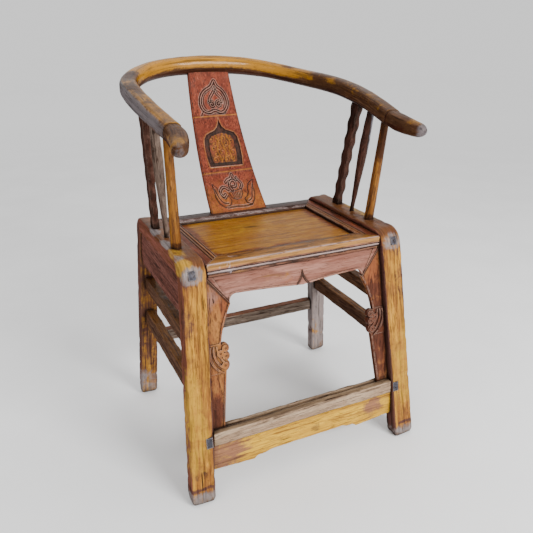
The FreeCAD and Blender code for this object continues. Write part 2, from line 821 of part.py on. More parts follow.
spandrel_blank = front_board(spandrel_wire(0), 0, apron_thick)
spandrel_blank = spandrel_blank.cut([over_block] + beyond(apron_tongue))
stand_block = box(-wide, wide, -frame_depth - cut_overrun, 0, -tall, foot_rail_top - apron_tongue)
spandrel_blank = one(spandrel_blank.cut(stand_block))
upper_field = front_board(spandrel_wire(edge_bead), -cut_overrun, cut_overrun + field_sink)
cloud_band = box(-wide, wide, -frame_depth - cut_overrun, 0,
                 seat_under - cloud_drops[-1] - edge_bead, seat_under - waist_drop + edge_bead)
spandrel_right = one(spandrel_blank.cut(upper_field.cut(cloud_band)))
discs = [raised_disc(i) for i in range(len(disc_reach_shares))]
ribs = [rib(i).cut(beyond(0)[0]) for i in range(len(rib_start_shares))]
spandrel_right = fused(spandrel_right, *[disc for disc, eye in discs])
spandrel_right = fused(spandrel_right, *ribs)
spandrel_right = one(spandrel_right.cut([eye for disc, eye in discs]))

# grooves for the spandrel's outer edge and foot
groove_wire = Part.makePolygon([
    Vec(0, 0, tall), Vec(wide, 0, tall),
    Vec(wide, 0, fall(foot_drop + apron_tongue + joint_gap)),
    Vec(0, 0, fall(foot_drop + apron_tongue + joint_gap)), Vec(0, 0, tall)])
groove_board = front_board(groove_wire, -joint_gap, apron_thick + joint_gap + joint_gap)
groove_block = one(groove_board.cut(
    [box(-wide, wide, -frame_depth - cut_overrun, 0, seat_under + joint_gap, tall + tall)]
    + beyond(apron_tongue + joint_gap)
    + [box(-wide, wide, -frame_depth - cut_overrun, 0, -tall, foot_rail_top - apron_tongue - joint_gap)]))
frame_cuts.append(groove_block)

# foot rail with its tenons and its shaped apron
foot_front = front_outer_y(foot_rail_top - foot_rail_high / 2) + foot_rail_setback
foot_back = foot_front + foot_rail_depth
foot_body = one(box(-wide, wide, foot_front, foot_back, foot_rail_under, foot_rail_top).cut(beyond(0)))


def foot_tenon(grow):
    """Tenons of the foot rail, in both legs."""
    middle_y = (foot_front + foot_back) / 2
    middle_z = (foot_rail_top + foot_rail_under) / 2
    bar = box(-wide, wide, middle_y - foot_tenon_thick / 2 - grow, middle_y + foot_tenon_thick / 2 + grow,
              middle_z - foot_tenon_high / 2 - grow, middle_z + foot_tenon_high / 2 + grow)
    return one(bar.cut(beyond(foot_tenon_length + grow)))


foot_rail = fused(foot_body, foot_tenon(0))
foot_rail = one(foot_rail.cut(both(groove_block)))
frame_cuts.append(foot_tenon(joint_gap))

foot_apron_y = foot_front + foot_apron_setback
foot_leg_x = inner_x(foot_front, foot_rail_under)


def under(x, depth):
    """Front-view point of the foot rail's apron."""
    return front_point(x, foot_rail_under - depth)


cusp_x = foot_leg_x - foot_cusp_from_leg
step_x = cusp_x - foot_cusp_width
right_half = [under(foot_leg_x + cut_overrun, foot_apron_end), under(cusp_x, foot_apron_drop)]
cusp_points = []
for across, down in zip(cusp_across_shares, cusp_down_shares):
    cusp_points.append(under(cusp_x - foot_cusp_width * across,
                             foot_apron_drop - (foot_apron_drop - foot_apron_middle) * down))
cusp_middle, cusp_notch, cusp_upper = cusp_points
cusp_end = under(step_x, foot_apron_middle)
foot_apron_wire = path(under(foot_leg_x + cut_overrun, 0), [
    right_half[0], right_half[1],
    (cusp_middle, cusp_notch), (cusp_upper, cusp_end),
    flip(cusp_end),
    (flip(cusp_upper), flip(cusp_notch)), (flip(cusp_middle), flip(right_half[1])),
    flip(right_half[0]), under(-foot_leg_x - cut_overrun, 0),
])
foot_apron = prism(foot_apron_wire, Vec(0, foot_apron_thick, 0))
foot_apron.translate(Vec(0, foot_apron_y, 0))
foot_apron = one(foot_apron.cut(beyond(apron_tongue)))


def foot_apron_slot():
    """Groove in each leg for the end of the foot rail's apron."""
    deepest = max(foot_apron_drop, foot_apron_end, foot_apron_middle)
    slot = box(0, wide, foot_apron_y - joint_gap, foot_apron_y + foot_apron_thick + joint_gap,
               foot_rail_under - deepest - joint_gap, foot_rail_under + joint_gap)
    return one(slot.cut(beyond(apron_tongue + joint_gap)[0]))


frame_cuts.append(foot_apron_slot())


# side aprons and side stretchers

def apron_outer(y):
    """Outer face of the side apron."""
    return outer_face_x(y) - side_apron_inset


def apron_inner(y):
    """Inner face of the side apron."""
    return apron_outer(y) - side_apron_thick


apron_low = rail_under - side_apron_drop
round_z = apron_low + side_apron_round
front_end = front_inner_y(round_z)
rear_end = rear_inner_y(round_z)
bow = side_apron_round * arc_middle_share
side_apron_wire = path(side_point(front_inner_y(rail_under + cut_overrun), rail_under + cut_overrun), [
    side_point(front_end, round_z),
    (side_point(front_end + bow, apron_low + bow), side_point(front_end + side_apron_round, apron_low)),
    side_point(rear_end - side_apron_round, apron_low),
    (side_point(rear_end - bow, apron_low + bow), side_point(rear_end, round_z)),
    side_point(rear_inner_y(rail_under + cut_overrun), rail_under + cut_overrun),
])
side_apron = one(side_piece(side_apron_wire, apron_inner, apron_outer).cut(frame_blank))


def apron_tongue_block(grow):
    """Tongue along the top of the side apron, in a groove under the bent rail."""
    ends = tongue_end_gap
    wire = Part.makePolygon([
        side_point(front_inner_y(rail_under) + ends - grow, rail_under - side_apron_tongue),
        side_point(front_inner_y(rail_under) + ends - grow, rail_under + side_apron_tongue + grow),
        side_point(rear_inner_y(rail_under) - ends + grow, rail_under + side_apron_tongue + grow),
        side_point(rear_inner_y(rail_under) - ends + grow, rail_under - side_apron_tongue),
        side_point(front_inner_y(rail_under) + ends - grow, rail_under - side_apron_tongue)])
    third = side_apron_thick / 3
    return side_piece(wire, lambda y: apron_inner(y) + third - grow, lambda y: apron_outer(y) - third + grow)


side_apron = fused(side_apron, apron_tongue_block(0))
frame_cuts.append(apron_tongue_block(joint_gap))


def stretcher_outer(y):
    """Outer face of the side stretchers."""
    return outer_face_x(y) - stretcher_inset


def stretcher_inner(y):
    """Inner face of the side stretchers."""
    return stretcher_outer(y) - stretcher_thick


def band(top, high, reach, margin, grow):
    """Side view of a stretcher between the legs, reaching into them."""
    z1 = top - margin + grow
    z0 = top - high + margin - grow
    return Part.makePolygon([
        side_point(front_inner_y(z0) - reach, z0), side_point(front_inner_y(z1) - reach, z1),
        side_point(rear_inner_y(z1) + reach, z1), side_point(rear_inner_y(z0) + reach, z0),
        side_point(front_inner_y(z0) - reach, z0)])


def side_stretcher(top, high):
    """Stretcher between the legs of one side, with a tenon at each end."""
    cheek = (stretcher_thick - stretcher_tenon_thick) / 2
    body = side_piece(band(top, high, 0, 0, 0), stretcher_inner, stretcher_outer)
    tenon = side_piece(band(top, high, stretcher_tenon_length, stretcher_shoulder, 0),
                       lambda y: stretcher_inner(y) + cheek, lambda y: stretcher_outer(y) - cheek)
    mortise = side_piece(band(top, high, stretcher_tenon_length + joint_gap, stretcher_shoulder, joint_gap),
                         lambda y: stretcher_inner(y) + cheek - joint_gap,
                         lambda y: stretcher_outer(y) - cheek + joint_gap)
    frame_cuts.append(mortise)
    return fused(body, tenon)


side_upper_top = apron_low - side_upper_gap
side_lower_top = side_upper_top - side_upper_high - side_lower_gap
side_upper = side_stretcher(side_upper_top, side_upper_high)
side_lower = side_stretcher(side_lower_top, side_lower_high)


def rear_stretcher(top, high):
    """Stretcher between the rear legs, with a tenon at each end."""
    middle_z = top - high / 2
    y0 = rear_inner_y(middle_z) + rear_stretcher_inset
    y1 = y0 + stretcher_thick
    cheek = (stretcher_thick - stretcher_tenon_thick) / 2
    body = one(box(-wide, wide, y0, y1, top - high, top).cut(beyond(0)))

    def tenon(grow):
        bar = box(-wide, wide, y0 + cheek - grow, y1 - cheek + grow,
                  top - high + stretcher_shoulder - grow, top - stretcher_shoulder + grow)
        return one(bar.cut(beyond(stretcher_tenon_length + grow)))

    frame_cuts.append(tenon(joint_gap))
    return fused(body, tenon(0))


rear_upper = rear_stretcher(seat_under - rear_upper_drop, rear_upper_high)
rear_lower = rear_stretcher(rear_lower_top, rear_lower_high)

# rear apron under the rear rail, tongued into the rear legs
rear_apron_y = rear_outer_y(seat_under) - rear_apron_inset - rear_apron_thick
rear_x = inner_x(rear_apron_y, seat_under - rear_apron_drop)
rear_apron_wire = rounded([
    front_point(-rear_x - cut_overrun, seat_under), front_point(rear_x + cut_overrun, seat_under),
    front_point(rear_x + cut_overrun, seat_under - rear_apron_drop),
    front_point(rear_x - rear_apron_round, seat_under - rear_apron_drop),
    front_point(rear_x - rear_apron_round - rear_apron_round, seat_under - rear_apron_drop + rear_apron_round / 2),
    front_point(-rear_x + rear_apron_round + rear_apron_round, seat_under - rear_apron_drop + rear_apron_round / 2),
    front_point(-rear_x + rear_apron_round, seat_under - rear_apron_drop),
    front_point(-rear_x - cut_overrun, seat_under - rear_apron_drop),
], [0, 0, 0, rear_apron_round / 3, rear_apron_round / 3, rear_apron_round / 3, rear_apron_round / 3, 0])
rear_apron = prism(rear_apron_wire, Vec(0, rear_apron_thick, 0))
rear_apron.translate(Vec(0, rear_apron_y, 0))
rear_apron = one(rear_apron.cut(beyond(apron_tongue)))
rear_slot = box(0, wide, rear_apron_y - joint_gap, rear_apron_y + rear_apron_thick + joint_gap,
                seat_under - rear_apron_drop - joint_gap, seat_under + joint_gap)
frame_cuts.append(one(rear_slot.cut(beyond(apron_tongue + joint_gap)[0])))


# pegs

def peg(x, z, wide_side, high_side, tenon_back):
    """Square peg from the leg's front face to its tenon, with a nose through the tenon."""
    def solid(grow):
        tenon_front = tenon_back[0]
        head = box(x - wide_side / 2 - grow, x + wide_side / 2 + grow,
                   front_outer_y(0) - cut_overrun, tenon_front - joint_gap + grow,
                   z - high_side / 2 - grow, z + high_side / 2 + grow)
        nose = box(x - peg_nose / 2 - grow, x + peg_nose / 2 + grow,
                   tenon_front - joint_gap - peg_nose / 2, tenon_back[1] + peg_nose / 2 + grow,
                   z - peg_nose / 2 - grow, z + peg_nose / 2 + grow)
        return head, nose
    head, nose = solid(0)
    hole_head, hole_nose = solid(joint_gap)
    return fused(head, nose), fused(hole_head, hole_nose)


tenon_z = (seat_top + seat_under) / 2
tenon_y0 = seat_front + rail_tenon_setback
corner_peg_x = outer_face_x(-half_depth) - corner_peg_inset
corner_peg, corner_hole = peg(corner_peg_x, frame_height - corner_peg_drop, corner_peg_wide, corner_peg_high,
                              (tenon_y0, tenon_y0 + rail_tenon_thick))
foot_middle_y = (foot_front + foot_back) / 2
foot_peg_z = (foot_rail_top + foot_rail_under) / 2
foot_peg_x = inner_x(foot_front, foot_peg_z) + foot_peg_inset
foot_peg, foot_hole = peg(foot_peg_x, foot_peg_z, foot_peg_wide, foot_peg_high,
                          (foot_middle_y - foot_tenon_thick / 2, foot_middle_y + foot_tenon_thick / 2))
proud_corners = [side_point(p.y - peg_proud if p.y < 0 else p.y, p.z) for p in frame_corners]
proud_blank = side_piece(rounded(proud_corners, frame_radii), inner_face_x, outer_face_x)
corner_peg = one(corner_peg.common(proud_blank))
foot_peg = one(foot_peg.common(proud_blank))
front_rail = one(front_rail.cut(both(corner_hole)))
foot_rail = one(foot_rail.cut(both(foot_hole)))
frame_cuts += [corner_hole, foot_hole]


# crest rail path: a smooth curve through the named shares of width, reach and fall
right_side = []
for across, reach, down in zip(crest_width_shares, crest_reach_shares, crest_fall_shares):
    right_side.append(Vec(crest_half_width * across,
                          crest_end_y + (crest_back_y - crest_end_y) * reach,
                          crest_back_z - crest_drop * down))
crest_spline = Part.BSplineCurve()
crest_spline.interpolate([flip(point) for point in right_side[:0:-1]] + right_side)
crest_line = crest_spline.toShape()
crest_length = crest_line.Length / 2


def crest_point(run):
    """Point of the crest rail's centre line, at a run from the middle of the back."""
    return crest_line.valueAt(crest_line.getParameterByLength(crest_length + run))


def crest_direction(run):
    """Direction of the centre line, from the left hand round to the right."""
    return crest_line.tangentAt(crest_line.getParameterByLength(crest_length + run)).normalize()


def blend(share, values):
    """Value between the back, the arm and the end, at a share of the length."""
    back, arm, end = values
    if share < half_share:
        t = share * 2
        return back + (arm - back) * (t * t * (3 - t - t))
    t = share * 2 - 1
    return arm + (end - arm) * (t * t * (3 - t - t))


def section(centre, direction, across, upright, round_share):
    """Points of a section square to a direction, its rounded corners cut in small flats."""
    up = (Vec(0, 0, 1) - direction * direction.z).normalize()
    side = direction.cross(up).normalize()
    a = across / 2
    b = upright / 2
    radius = min(a, b) * round_share
    points = []
    for corner_number in range(4):
        for k in range(corner_facets + 1):
            turn = math.pi / 2 * (corner_number + k / corner_facets)
            i = 1 if corner_number in (0, 3) else -1
            j = 1 if corner_number in (0, 1) else -1
            points.append(centre + side * ((a - radius) * i + radius * math.cos(turn))
                          + up * ((b - radius) * j + radius * math.sin(turn)))
    return points


def crest_section(run):
    """Section of the crest rail at a run."""
    share = abs(run) / crest_length
    return section(crest_point(run), crest_direction(run),
                   blend(share, (crest_back_wide, crest_arm_wide, crest_end_wide)),
                   blend(share, (crest_back_high, crest_arm_high, crest_end_high)),
                   blend(share, crest_round_shares))


runs = [crest_length * k / crest_stations for k in range(-crest_stations, crest_stations + 1)]
crest_blank = faceted([crest_section(run) for run in runs])

# hand grip: starts on the end of the crest rail and turns outwards
grip_start = crest_point(crest_length)
grip_way = crest_direction(crest_length)
grip_tip = grip_start + grip_way * grip_length + Vec(grip_turn_out, 0, -grip_fall + grip_length * abs(grip_way.z))
grip_middle = grip_start + grip_way * grip_lead


def grip_point(t):
    """Point of the grip's centre line."""
    return grip_start * (1 - t) ** 2 + grip_middle * (t * (1 - t) * 2) + grip_tip * t ** 2


def grip_direction(t):
    """Direction of the grip's centre line."""
    return ((grip_middle - grip_start) * (1 - t) + (grip_tip - grip_middle) * t).normalize()


def grip_section(t):
    """Section of the grip, closing to a rounded end."""
    size = 1.0
    if t > grip_dome_share:
        over = (t - grip_dome_share) / (1 - grip_dome_share)
        size = max(math.sqrt(1 - over ** 2), grip_tip_share)
    direction = grip_way if t == 0 else grip_direction(min(t, grip_dome_share))
    return section(grip_point(t), direction, grip_wide * size, grip_high * size, grip_round_share)


grip_right = faceted([grip_section(t) for t in grip_shares])


def grip_tenon_block(grow):
    """Square tenon of the grip in the end of the crest rail."""
    start = grip_start - grip_way * (grip_tenon_length + grow)
    up = (Vec(0, 0, 1) - grip_way * grip_way.z).normalize()
    side = grip_way.cross(up).normalize()
    half = grip_tenon / 2 + grow
    points = [start + side * half * i + up * half * j for i, j in ((1, 1), (-1, 1), (-1, -1), (1, -1))]
    return prism(Part.makePolygon(points + points[:1]), grip_way * (grip_tenon_length + grow + grip_tenon_lap))


grip_right = fused(grip_right, grip_tenon_block(0))
crest_cuts = both(grip_tenon_block(joint_gap))


# arm posts

def crest_at(y):
    """Point of the right arm's centre line at a y."""
    low = crest_length / 2
    high = crest_length
    for _ in range(40):
        middle = (low + high) / 2
        if crest_point(middle).y > y:
            low = middle
        else:
            high = middle
    return crest_point((low + high) / 2)


def post_ends(y, inset, top_y):
    """Foot on the bent rail's top face, and top in the middle of the crest rail."""
    foot = Vec(outer_face_x(y) - inset, y, frame_height)
    foot.x = pivot_x + (foot.x - pivot_x) * lean_cos
    foot.z = frame_height + (foot.x - pivot_x) * lean_sin
    return foot, crest_at(top_y)


def aligned(shape, foot, top):
    """Moves a piece drawn upward from the origin so that it runs from foot to top."""
    up = (top - foot).normalize()
    across = (Vec(1, 0, 0) - up * up.x).normalize()
    back = up.cross(across)
    matrix = FreeCAD.Matrix(across.x, back.x, up.x, foot.x,
                            across.y, back.y, up.y, foot.y,
                            across.z, back.z, up.z, foot.z,
                            0, 0, 0, 1)
    moved = shape.copy()
    moved.Placement = FreeCAD.Placement(matrix)
    return moved


def polygon_ring(radius, z):
    """Points of a many-sided ring about Z."""
    turns = [math.pi * 2 * k / post_sides for k in range(post_sides)]
    return [Vec(radius * math.cos(turn), radius * math.sin(turn), z) for turn in turns]


def turned(heights, radii):
    """Turned post about Z whose radius eases from each height to the next."""
    rings = []
    for i in range(len(heights) - 1):
        last = i == len(heights) - 2
        count = max(1, round(post_stations / (len(heights) - 1))) if len(heights) > 2 else 1
        for k in range(count + 1 if last else count):
            t = k / count
            ease = t * t * (3 - t - t) if len(heights) > 2 else t
            rings.append(polygon_ring(radii[i] + (radii[i + 1] - radii[i]) * ease,
                                      heights[i] + (heights[i + 1] - heights[i]) * t))
    return faceted(rings)


def seated(blank, foot, top, peg_low, peg_high, holes):
    """Trims a post to the bent rail and the crest rail, and adds its two tenons."""
    body = aligned(blank, foot, top)
    body = one(body.cut([frame_blank, crest_blank]))
    frame_cuts.append(aligned(holes[0], foot, top))
    crest_cuts.extend(both(aligned(holes[1], foot, top)))
    return fused(body, aligned(peg_low, foot, top), aligned(peg_high, foot, top))


def round_tenons(length, diameter, grow):
    """Round tenons at the foot and the top of a post of a length."""
    radius = diameter / 2 + grow
    rise = crest_arm_high / 2
    low = Part.makeCylinder(radius, post_tenon_length + post_tenon_length / 2 + grow,
                            Vec(0, 0, -post_tenon_length - grow))
    high = Part.makeCylinder(radius, rise + post_tenon_length / 3 + grow - rise / 4,
                             Vec(0, 0, length - rise - post_tenon_length / 3))
    return low, high


def round_post(y, inset, top_y, shares, diameters, tenon_dia):
    """Turned arm post."""
    foot, top = post_ends(y, inset, top_y)
    length = (top - foot).Length
    sink = timber_depth / 3
    heights = [-sink] + [length * s for s in shares] + [length]
    radii = [diameters[0] / 2] + [d / 2 for d in diameters[1:-1]] + [diameters[-1] / 2]
    blank = turned(heights, radii)
    low, high = round_tenons(length, tenon_dia, 0)
    return seated(blank, foot, top, low, high, round_tenons(length, tenon_dia, joint_gap))


front_post = round_post(front_post_y, front_post_inset, front_post_top_y, (),
                        (front_post_foot_dia, front_post_top_dia), front_post_tenon_dia)
middle_post = round_post(middle_post_y, middle_post_inset, middle_post_top_y, middle_post_height_shares,
                         (middle_post_foot_dia, middle_post_waist_dia, middle_post_belly_dia,
                          middle_post_top_dia), middle_post_tenon_dia)


def wavy_blank(length):
    """Wavy slat, drawn upward from the origin."""
    low = -timber_depth / 3
    high = length
    waves = rear_post_waves * 2
    pitch = (high - low) / waves

    def half_width(z):
        share = (z - low) / (high - low)
        return (rear_post_foot_wide + (rear_post_wide - rear_post_foot_wide) * share) / 2

    def edge(sign):
        steps = []
        for i in range(waves):
            z0 = low + pitch * i
            swell = rear_post_wave if i % 2 == 0 else -rear_post_wave
            if sign < 0:
                swell = -swell
            steps.append((z0 + pitch / 2, sign * (half_width(z0 + pitch / 2) + swell), z0 + pitch,
                          sign * half_width(z0 + pitch)))
        return steps

    x = -rear_post_thick / 2
    start = Vec(x, half_width(low), low)
    steps = []
    for zm, ym, ze, ye in edge(1):
        steps.append((Vec(x, ym, zm), Vec(x, ye, ze)))
    back = edge(-1)
    steps.append(Vec(x, back[-1][3], high))
    for i in range(len(back) - 1, -1, -1):
        zm, ym, ze, ye = back[i]
        z0 = low + pitch * i
        steps.append((Vec(x, ym, zm), Vec(x, -half_width(z0), z0)))
    return prism(path(start, steps), Vec(rear_post_thick, 0, 0))


def flat_tenons(length, grow):
    """Flat tenons at the foot and the top of the wavy slat."""
    half_t = rear_post_tenon_thick / 2 + grow
    half_w = rear_post_tenon_wide / 2 + grow
    rise = crest_arm_high / 2
    low = box(-half_t, half_t, -half_w, half_w, -post_tenon_length - grow, post_tenon_length / 2)
    high = box(-half_t, half_t, -half_w, half_w, length - rise - post_tenon_length / 3,
               length - rise / 4 + grow)
    return low, high


rear_foot, rear_top = post_ends(rear_post_y, rear_post_inset, rear_post_top_y)
rear_length = (rear_top - rear_foot).Length
rear_low, rear_high = flat_tenons(rear_length, 0)
rear_post = seated(wavy_blank(rear_length), rear_foot, rear_top, rear_low, rear_high,
                   flat_tenons(rear_length, joint_gap))

# back splat: an arc in side view, cut to a tapering front view

splat_foot_y = seat_rear - splat_foot_setback
splat_foot = Vec(0, splat_foot_y, seat_top)
splat_top = Vec(0, crest_back_y - splat_top_in, crest_back_z - crest_back_high / 4)
splat_chord = splat_top - splat_foot
splat_away = Vec(0, splat_chord.z, -splat_chord.y).normalize()
splat_half = splat_chord.Length / 2
splat_radius = (splat_half ** 2 + splat_bulge ** 2) / (splat_bulge + splat_bulge)
splat_centre = splat_foot + splat_chord / 2 - splat_away * (splat_radius - splat_bulge)


def splat_side(share, offset):
    """Point of the side view at a share of the height, an offset behind the front face."""
    swing = math.asin(splat_half / splat_radius)
    angle = -swing + (swing + swing) * share
    along = splat_chord.normalize() if splat_chord.Length == 0 else splat_chord / splat_chord.Length
    radial = splat_away * math.cos(angle) + along * math.sin(angle)
    return splat_centre + radial * (splat_radius + offset)


def splat_band(low_offset, high_offset, low_share, high_share):
    """Curved slab across the whole width, between two offsets and two heights."""
    middle = (low_share + high_share) / 2
    wire = path(splat_side(low_share, low_offset), [
        (splat_side(middle, low_offset), splat_side(high_share, low_offset)),
        splat_side(high_share, high_offset),
        (splat_side(middle, high_offset), splat_side(low_share, high_offset)),
    ])
    wire.translate(Vec(-wide, 0, 0))
    return prism(wire, Vec(wide + wide, 0, 0))


def splat_half_width(z):
    """Half width of the splat at a height."""
    share = (z - seat_top) / (splat_top.z - seat_top)
    return splat_foot_half + (splat_top_half - splat_foot_half) * share


def front_prism(wire):
    """Front-view outline carried right through the splat."""
    cutter = prism(wire, Vec(0, frame_depth + crest_back_y, 0))
    return cutter


z_low = seat_top - cut_overrun
z_high = crest_back_z + cut_overrun
splat_view = front_prism(Part.makePolygon([
    front_point(-splat_half_width(z_low), z_low), front_point(splat_half_width(z_low), z_low),
    front_point(splat_half_width(z_high), z_high), front_point(-splat_half_width(z_high), z_high),
    front_point(-splat_half_width(z_low), z_low)]))
splat_body = splat_band(0, splat_thick, splat_foot_share, 1)
splat_body = one(splat_body.common(splat_view))
splat_body = splat_body.cut(box(-wide, wide, 0, frame_depth, 0, seat_top))
splat_body = one(splat_body.cut(crest_blank))


def share_points(x_shares, z_shares, half, low, high, inset):
    """Right half of an outline from shares of its half width and its height, moved inwards."""
    points = []
    for across, up in zip(x_shares, z_shares):
        reach = (half - inset) * across
        points.append(front_point(reach, low + inset + (high - low - inset - inset) * up))
    return points


def symmetric_outline(points):
    """Closed outline from its right half, foot to head, with straight lines."""
    left = [flip(p) for p in reversed(points) if p.x > point_tolerance]
    outline = points + left
    return Part.makePolygon(outline + outline[:1])


def one_side_outline(points):
    """Closed outline through points, with straight lines."""
    return Part.makePolygon(points + points[:1])


rib_z = [splat_side(share, 0).z for share in splat_rib_shares]
arch_low = rib_z[0] + arch_foot_gap
arch_high = rib_z[1] - arch_head_gap
medallion_low = crest_back_z - medallion_drop - medallion_high / 2
medallion_top = medallion_low + medallion_high
motif_low = seat_top + motif_gap


def arch_outline(inset):
    """Arched frame with an ogee head, in the middle field."""
    return symmetric_outline(share_points(arch_x_shares, arch_z_shares, arch_half, arch_low, arch_high, inset))


def medallion_outline(inset):
    """Round frame with a pointed head, in the top field."""
    return symmetric_outline(share_points(medallion_x_shares, medallion_z_shares, medallion_half,
                                          medallion_low, medallion_top, inset))


sunk_rings = []
for outline, line in ((arch_outline, arch_line), (medallion_outline, medallion_line)):
    ring = front_prism(outline(0)).cut(front_prism(outline(line)))
    sunk_rings.append(splat_band(-cut_overrun, sunk_line, 0, 1).common(ring))

raised_parts = []
for share in splat_rib_shares:
    step = splat_rib_wide / splat_chord.Length / 2
    strip = splat_band(-splat_rib_high, splat_rib_high, share - step, share + step)
    raised_parts.append(strip.common(splat_view))
flame = one_side_outline(share_points(flame_x_shares, flame_z_shares, motif_half,
                                      motif_low, motif_low + motif_high, 0))
bowl = symmetric_outline(share_points(bowl_x_shares, bowl_z_shares, motif_half,
                                      motif_low, motif_low + motif_high, 0))
figure_band = splat_band(-raised_figure, raised_figure, 0, 1)
for wire in (flame, bowl):
    figure = figure_band.common(front_prism(wire))
    raised_parts.append(figure)
    if wire is flame:
        raised_parts.append(mirrored(figure))

splat = one(splat_body.cut(sunk_rings))
for piece in raised_parts:
    for solid in piece.Solids:
        splat = fused(splat, solid)


def splat_tenons(grow):
    """Tenons of the splat in the rear rail and in the crest rail."""
    middle_y = splat_foot_y + splat_thick * splat_tenon_place_share
    low = box(-splat_foot_half + splat_tenon_margin - grow, splat_foot_half - splat_tenon_margin + grow,
              middle_y - splat_tenon_thick / 2 - grow, middle_y + splat_tenon_thick / 2 + grow,
              seat_top - splat_tenon_length - grow, seat_top + splat_tenon_length / 4)
    cheek = (splat_thick - splat_tenon_thick) / 2
    high = splat_band(cheek - grow, splat_thick - cheek + grow, splat_tenon_root_share,
                      1 + grow / splat_chord.Length)
    side = splat_half_width(splat_top.z) - splat_tenon_margin + grow
    high = one(high.common(box(-side, side, 0, frame_depth + crest_back_y, seat_top, tall)))
    return low, high


foot_tenon_block, head_tenon_block = splat_tenons(0)
foot_slot, head_slot = splat_tenons(joint_gap)
splat = fused(splat, foot_tenon_block, head_tenon_block)
rear_rail = one(rear_rail.cut(foot_slot))
crest_cuts.append(head_slot)

# the crest rail and the side frames get their mortises last
crest_rail = crest_blank
for cutter in crest_cuts:
    crest_rail = one(crest_rail.cut(cutter))
for cutter in frame_cuts:
    frame_right = one(frame_right.cut(cutter))

pieces = {
    "side_frame_right": frame_right,
    "side_frame_left": mirrored(frame_right),
    "seat_rail_front": front_rail,
    "seat_rail_rear": rear_rail,
    "seat_rail_right": side_rail,
    "seat_rail_left": mirrored(side_rail),
    "seat_board_front": panel_front,
    "seat_board_rear": panel_rear,
    "seat_batten_right": batten_right,
    "seat_batten_left": mirrored(batten_right),
    "front_apron": front_apron,
    "front_spandrel_right": spandrel_right,
    "front_spandrel_left": mirrored(spandrel_right),
    "side_apron_right": side_apron,
    "side_apron_left": mirrored(side_apron),
    "rear_apron": rear_apron,
    "foot_rail": foot_rail,
    "foot_rail_apron": foot_apron,
    "side_stretcher_upper_right": side_upper,
    "side_stretcher_upper_left": mirrored(side_upper),
    "side_stretcher_lower_right": side_lower,
    "side_stretcher_lower_left": mirrored(side_lower),
    "rear_stretcher_upper": rear_upper,
    "rear_stretcher_lower": rear_lower,
    "arm_post_front_right": front_post,
    "arm_post_front_left": mirrored(front_post),
    "arm_post_middle_right": middle_post,
    "arm_post_middle_left": mirrored(middle_post),
    "arm_post_rear_right": rear_post,
    "arm_post_rear_left": mirrored(rear_post),
    "back_splat": splat,
    "crest_rail": crest_rail,
    "hand_grip_right": grip_right,
    "hand_grip_left": mirrored(grip_right),
    "corner_pegs": Part.makeCompound([corner_peg, mirrored(corner_peg)]),
    "foot_rail_pegs": Part.makeCompound([foot_peg, mirrored(foot_peg)]),
}

extent = Part.makeCompound(list(pieces.values())).optimalBoundingBox(False, False)
shift = Vec(0, -(extent.YMin + extent.YMax) / 2, 0)
for name, shape in pieces.items():
    placed = shape.copy()
    placed.translate(shift)
    placed.exportStep("parts/" + name + ".step")
    print(name, "solids", len(placed.Solids), "valid", placed.isValid(), "volume", round(placed.Volume / 1000, 1))
print("shift", round(shift.y, 3), "size", round(extent.XLength, 1), round(extent.YLength, 1), round(extent.ZLength, 1))
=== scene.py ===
import math

import bmesh
import bpy
import numpy as np
from mathutils import Matrix, Vector, noise


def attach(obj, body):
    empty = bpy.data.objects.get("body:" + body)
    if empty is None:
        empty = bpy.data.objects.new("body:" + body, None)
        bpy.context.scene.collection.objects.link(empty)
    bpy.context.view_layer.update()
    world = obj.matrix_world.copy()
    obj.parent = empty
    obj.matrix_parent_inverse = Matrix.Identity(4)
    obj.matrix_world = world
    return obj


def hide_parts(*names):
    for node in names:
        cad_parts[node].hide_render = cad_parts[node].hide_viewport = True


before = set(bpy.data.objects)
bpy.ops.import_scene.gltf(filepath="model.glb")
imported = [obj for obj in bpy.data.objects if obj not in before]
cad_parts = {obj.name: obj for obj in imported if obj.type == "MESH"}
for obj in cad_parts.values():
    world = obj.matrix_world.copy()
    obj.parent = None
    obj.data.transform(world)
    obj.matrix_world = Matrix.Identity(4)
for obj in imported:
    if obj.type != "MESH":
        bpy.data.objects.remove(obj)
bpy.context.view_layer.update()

# Shapes are worked out in millimetres, in the chair's own frame, as in the part's source.
# The source then moves the chair along Y, to put its origin in the middle of its outline.
model_shift = -57.64
mm = 0.001

# sizes repeated from the part's source
frame_height, frame_depth = 500.0, 353.0
half_front, half_rear = 245.5, 250.5
foot_spread, front_rake, rear_rake = 32.0, 80.0, 24.0
leg_front, leg_rear = 49.0, 43.0
timber_depth, rear_leg_depth, rear_foot_depth = 35.0, 33.0, 27.0
bend_radius, inner_bend_radius = 38.0, 9.0
seat_top, seat_rear, seat_thick = 487.0, 160.5, 27.0
front_rail_wide, side_rail_wide, rear_rail_wide = 42.0, 38.0, 53.0
crest_back_y, crest_back_z = 351.0, 823.0
crest_half_width, crest_end_y, crest_drop = 250.0, -132.0, 95.2
splat_foot_half, splat_top_half, splat_thick, splat_bow = 74.0, 54.5, 12.5, 22.0

half_depth = frame_depth / 2
lean = math.atan(foot_spread / frame_height)
front_run = timber_depth / math.cos(math.atan(front_rake / frame_height))
pivot_x = (half_front + half_rear) / 2
rail_under = frame_height - timber_depth
seat_under = seat_top - seat_thick


def placed(point):
    """Point in metres in the model's frame, from one in the chair's own millimetres."""
    return Vector((point[0], point[1] + model_shift, point[2])) * mm


def clamped(value, high=1):
    return min(max(value, 0), high)


def inner_at(y, z):
    """Distance of a side frame's inner face from the chair's middle."""
    share = clamped((y + half_depth) / frame_depth)
    inner = half_front + (half_rear - half_front) * share - leg_front - (leg_rear - leg_front) * share
    return pivot_x + (inner - pivot_x) / math.cos(lean) + (frame_height - z) * math.tan(lean)


# camera of the photograph, with the place, turn and lens fitted to it

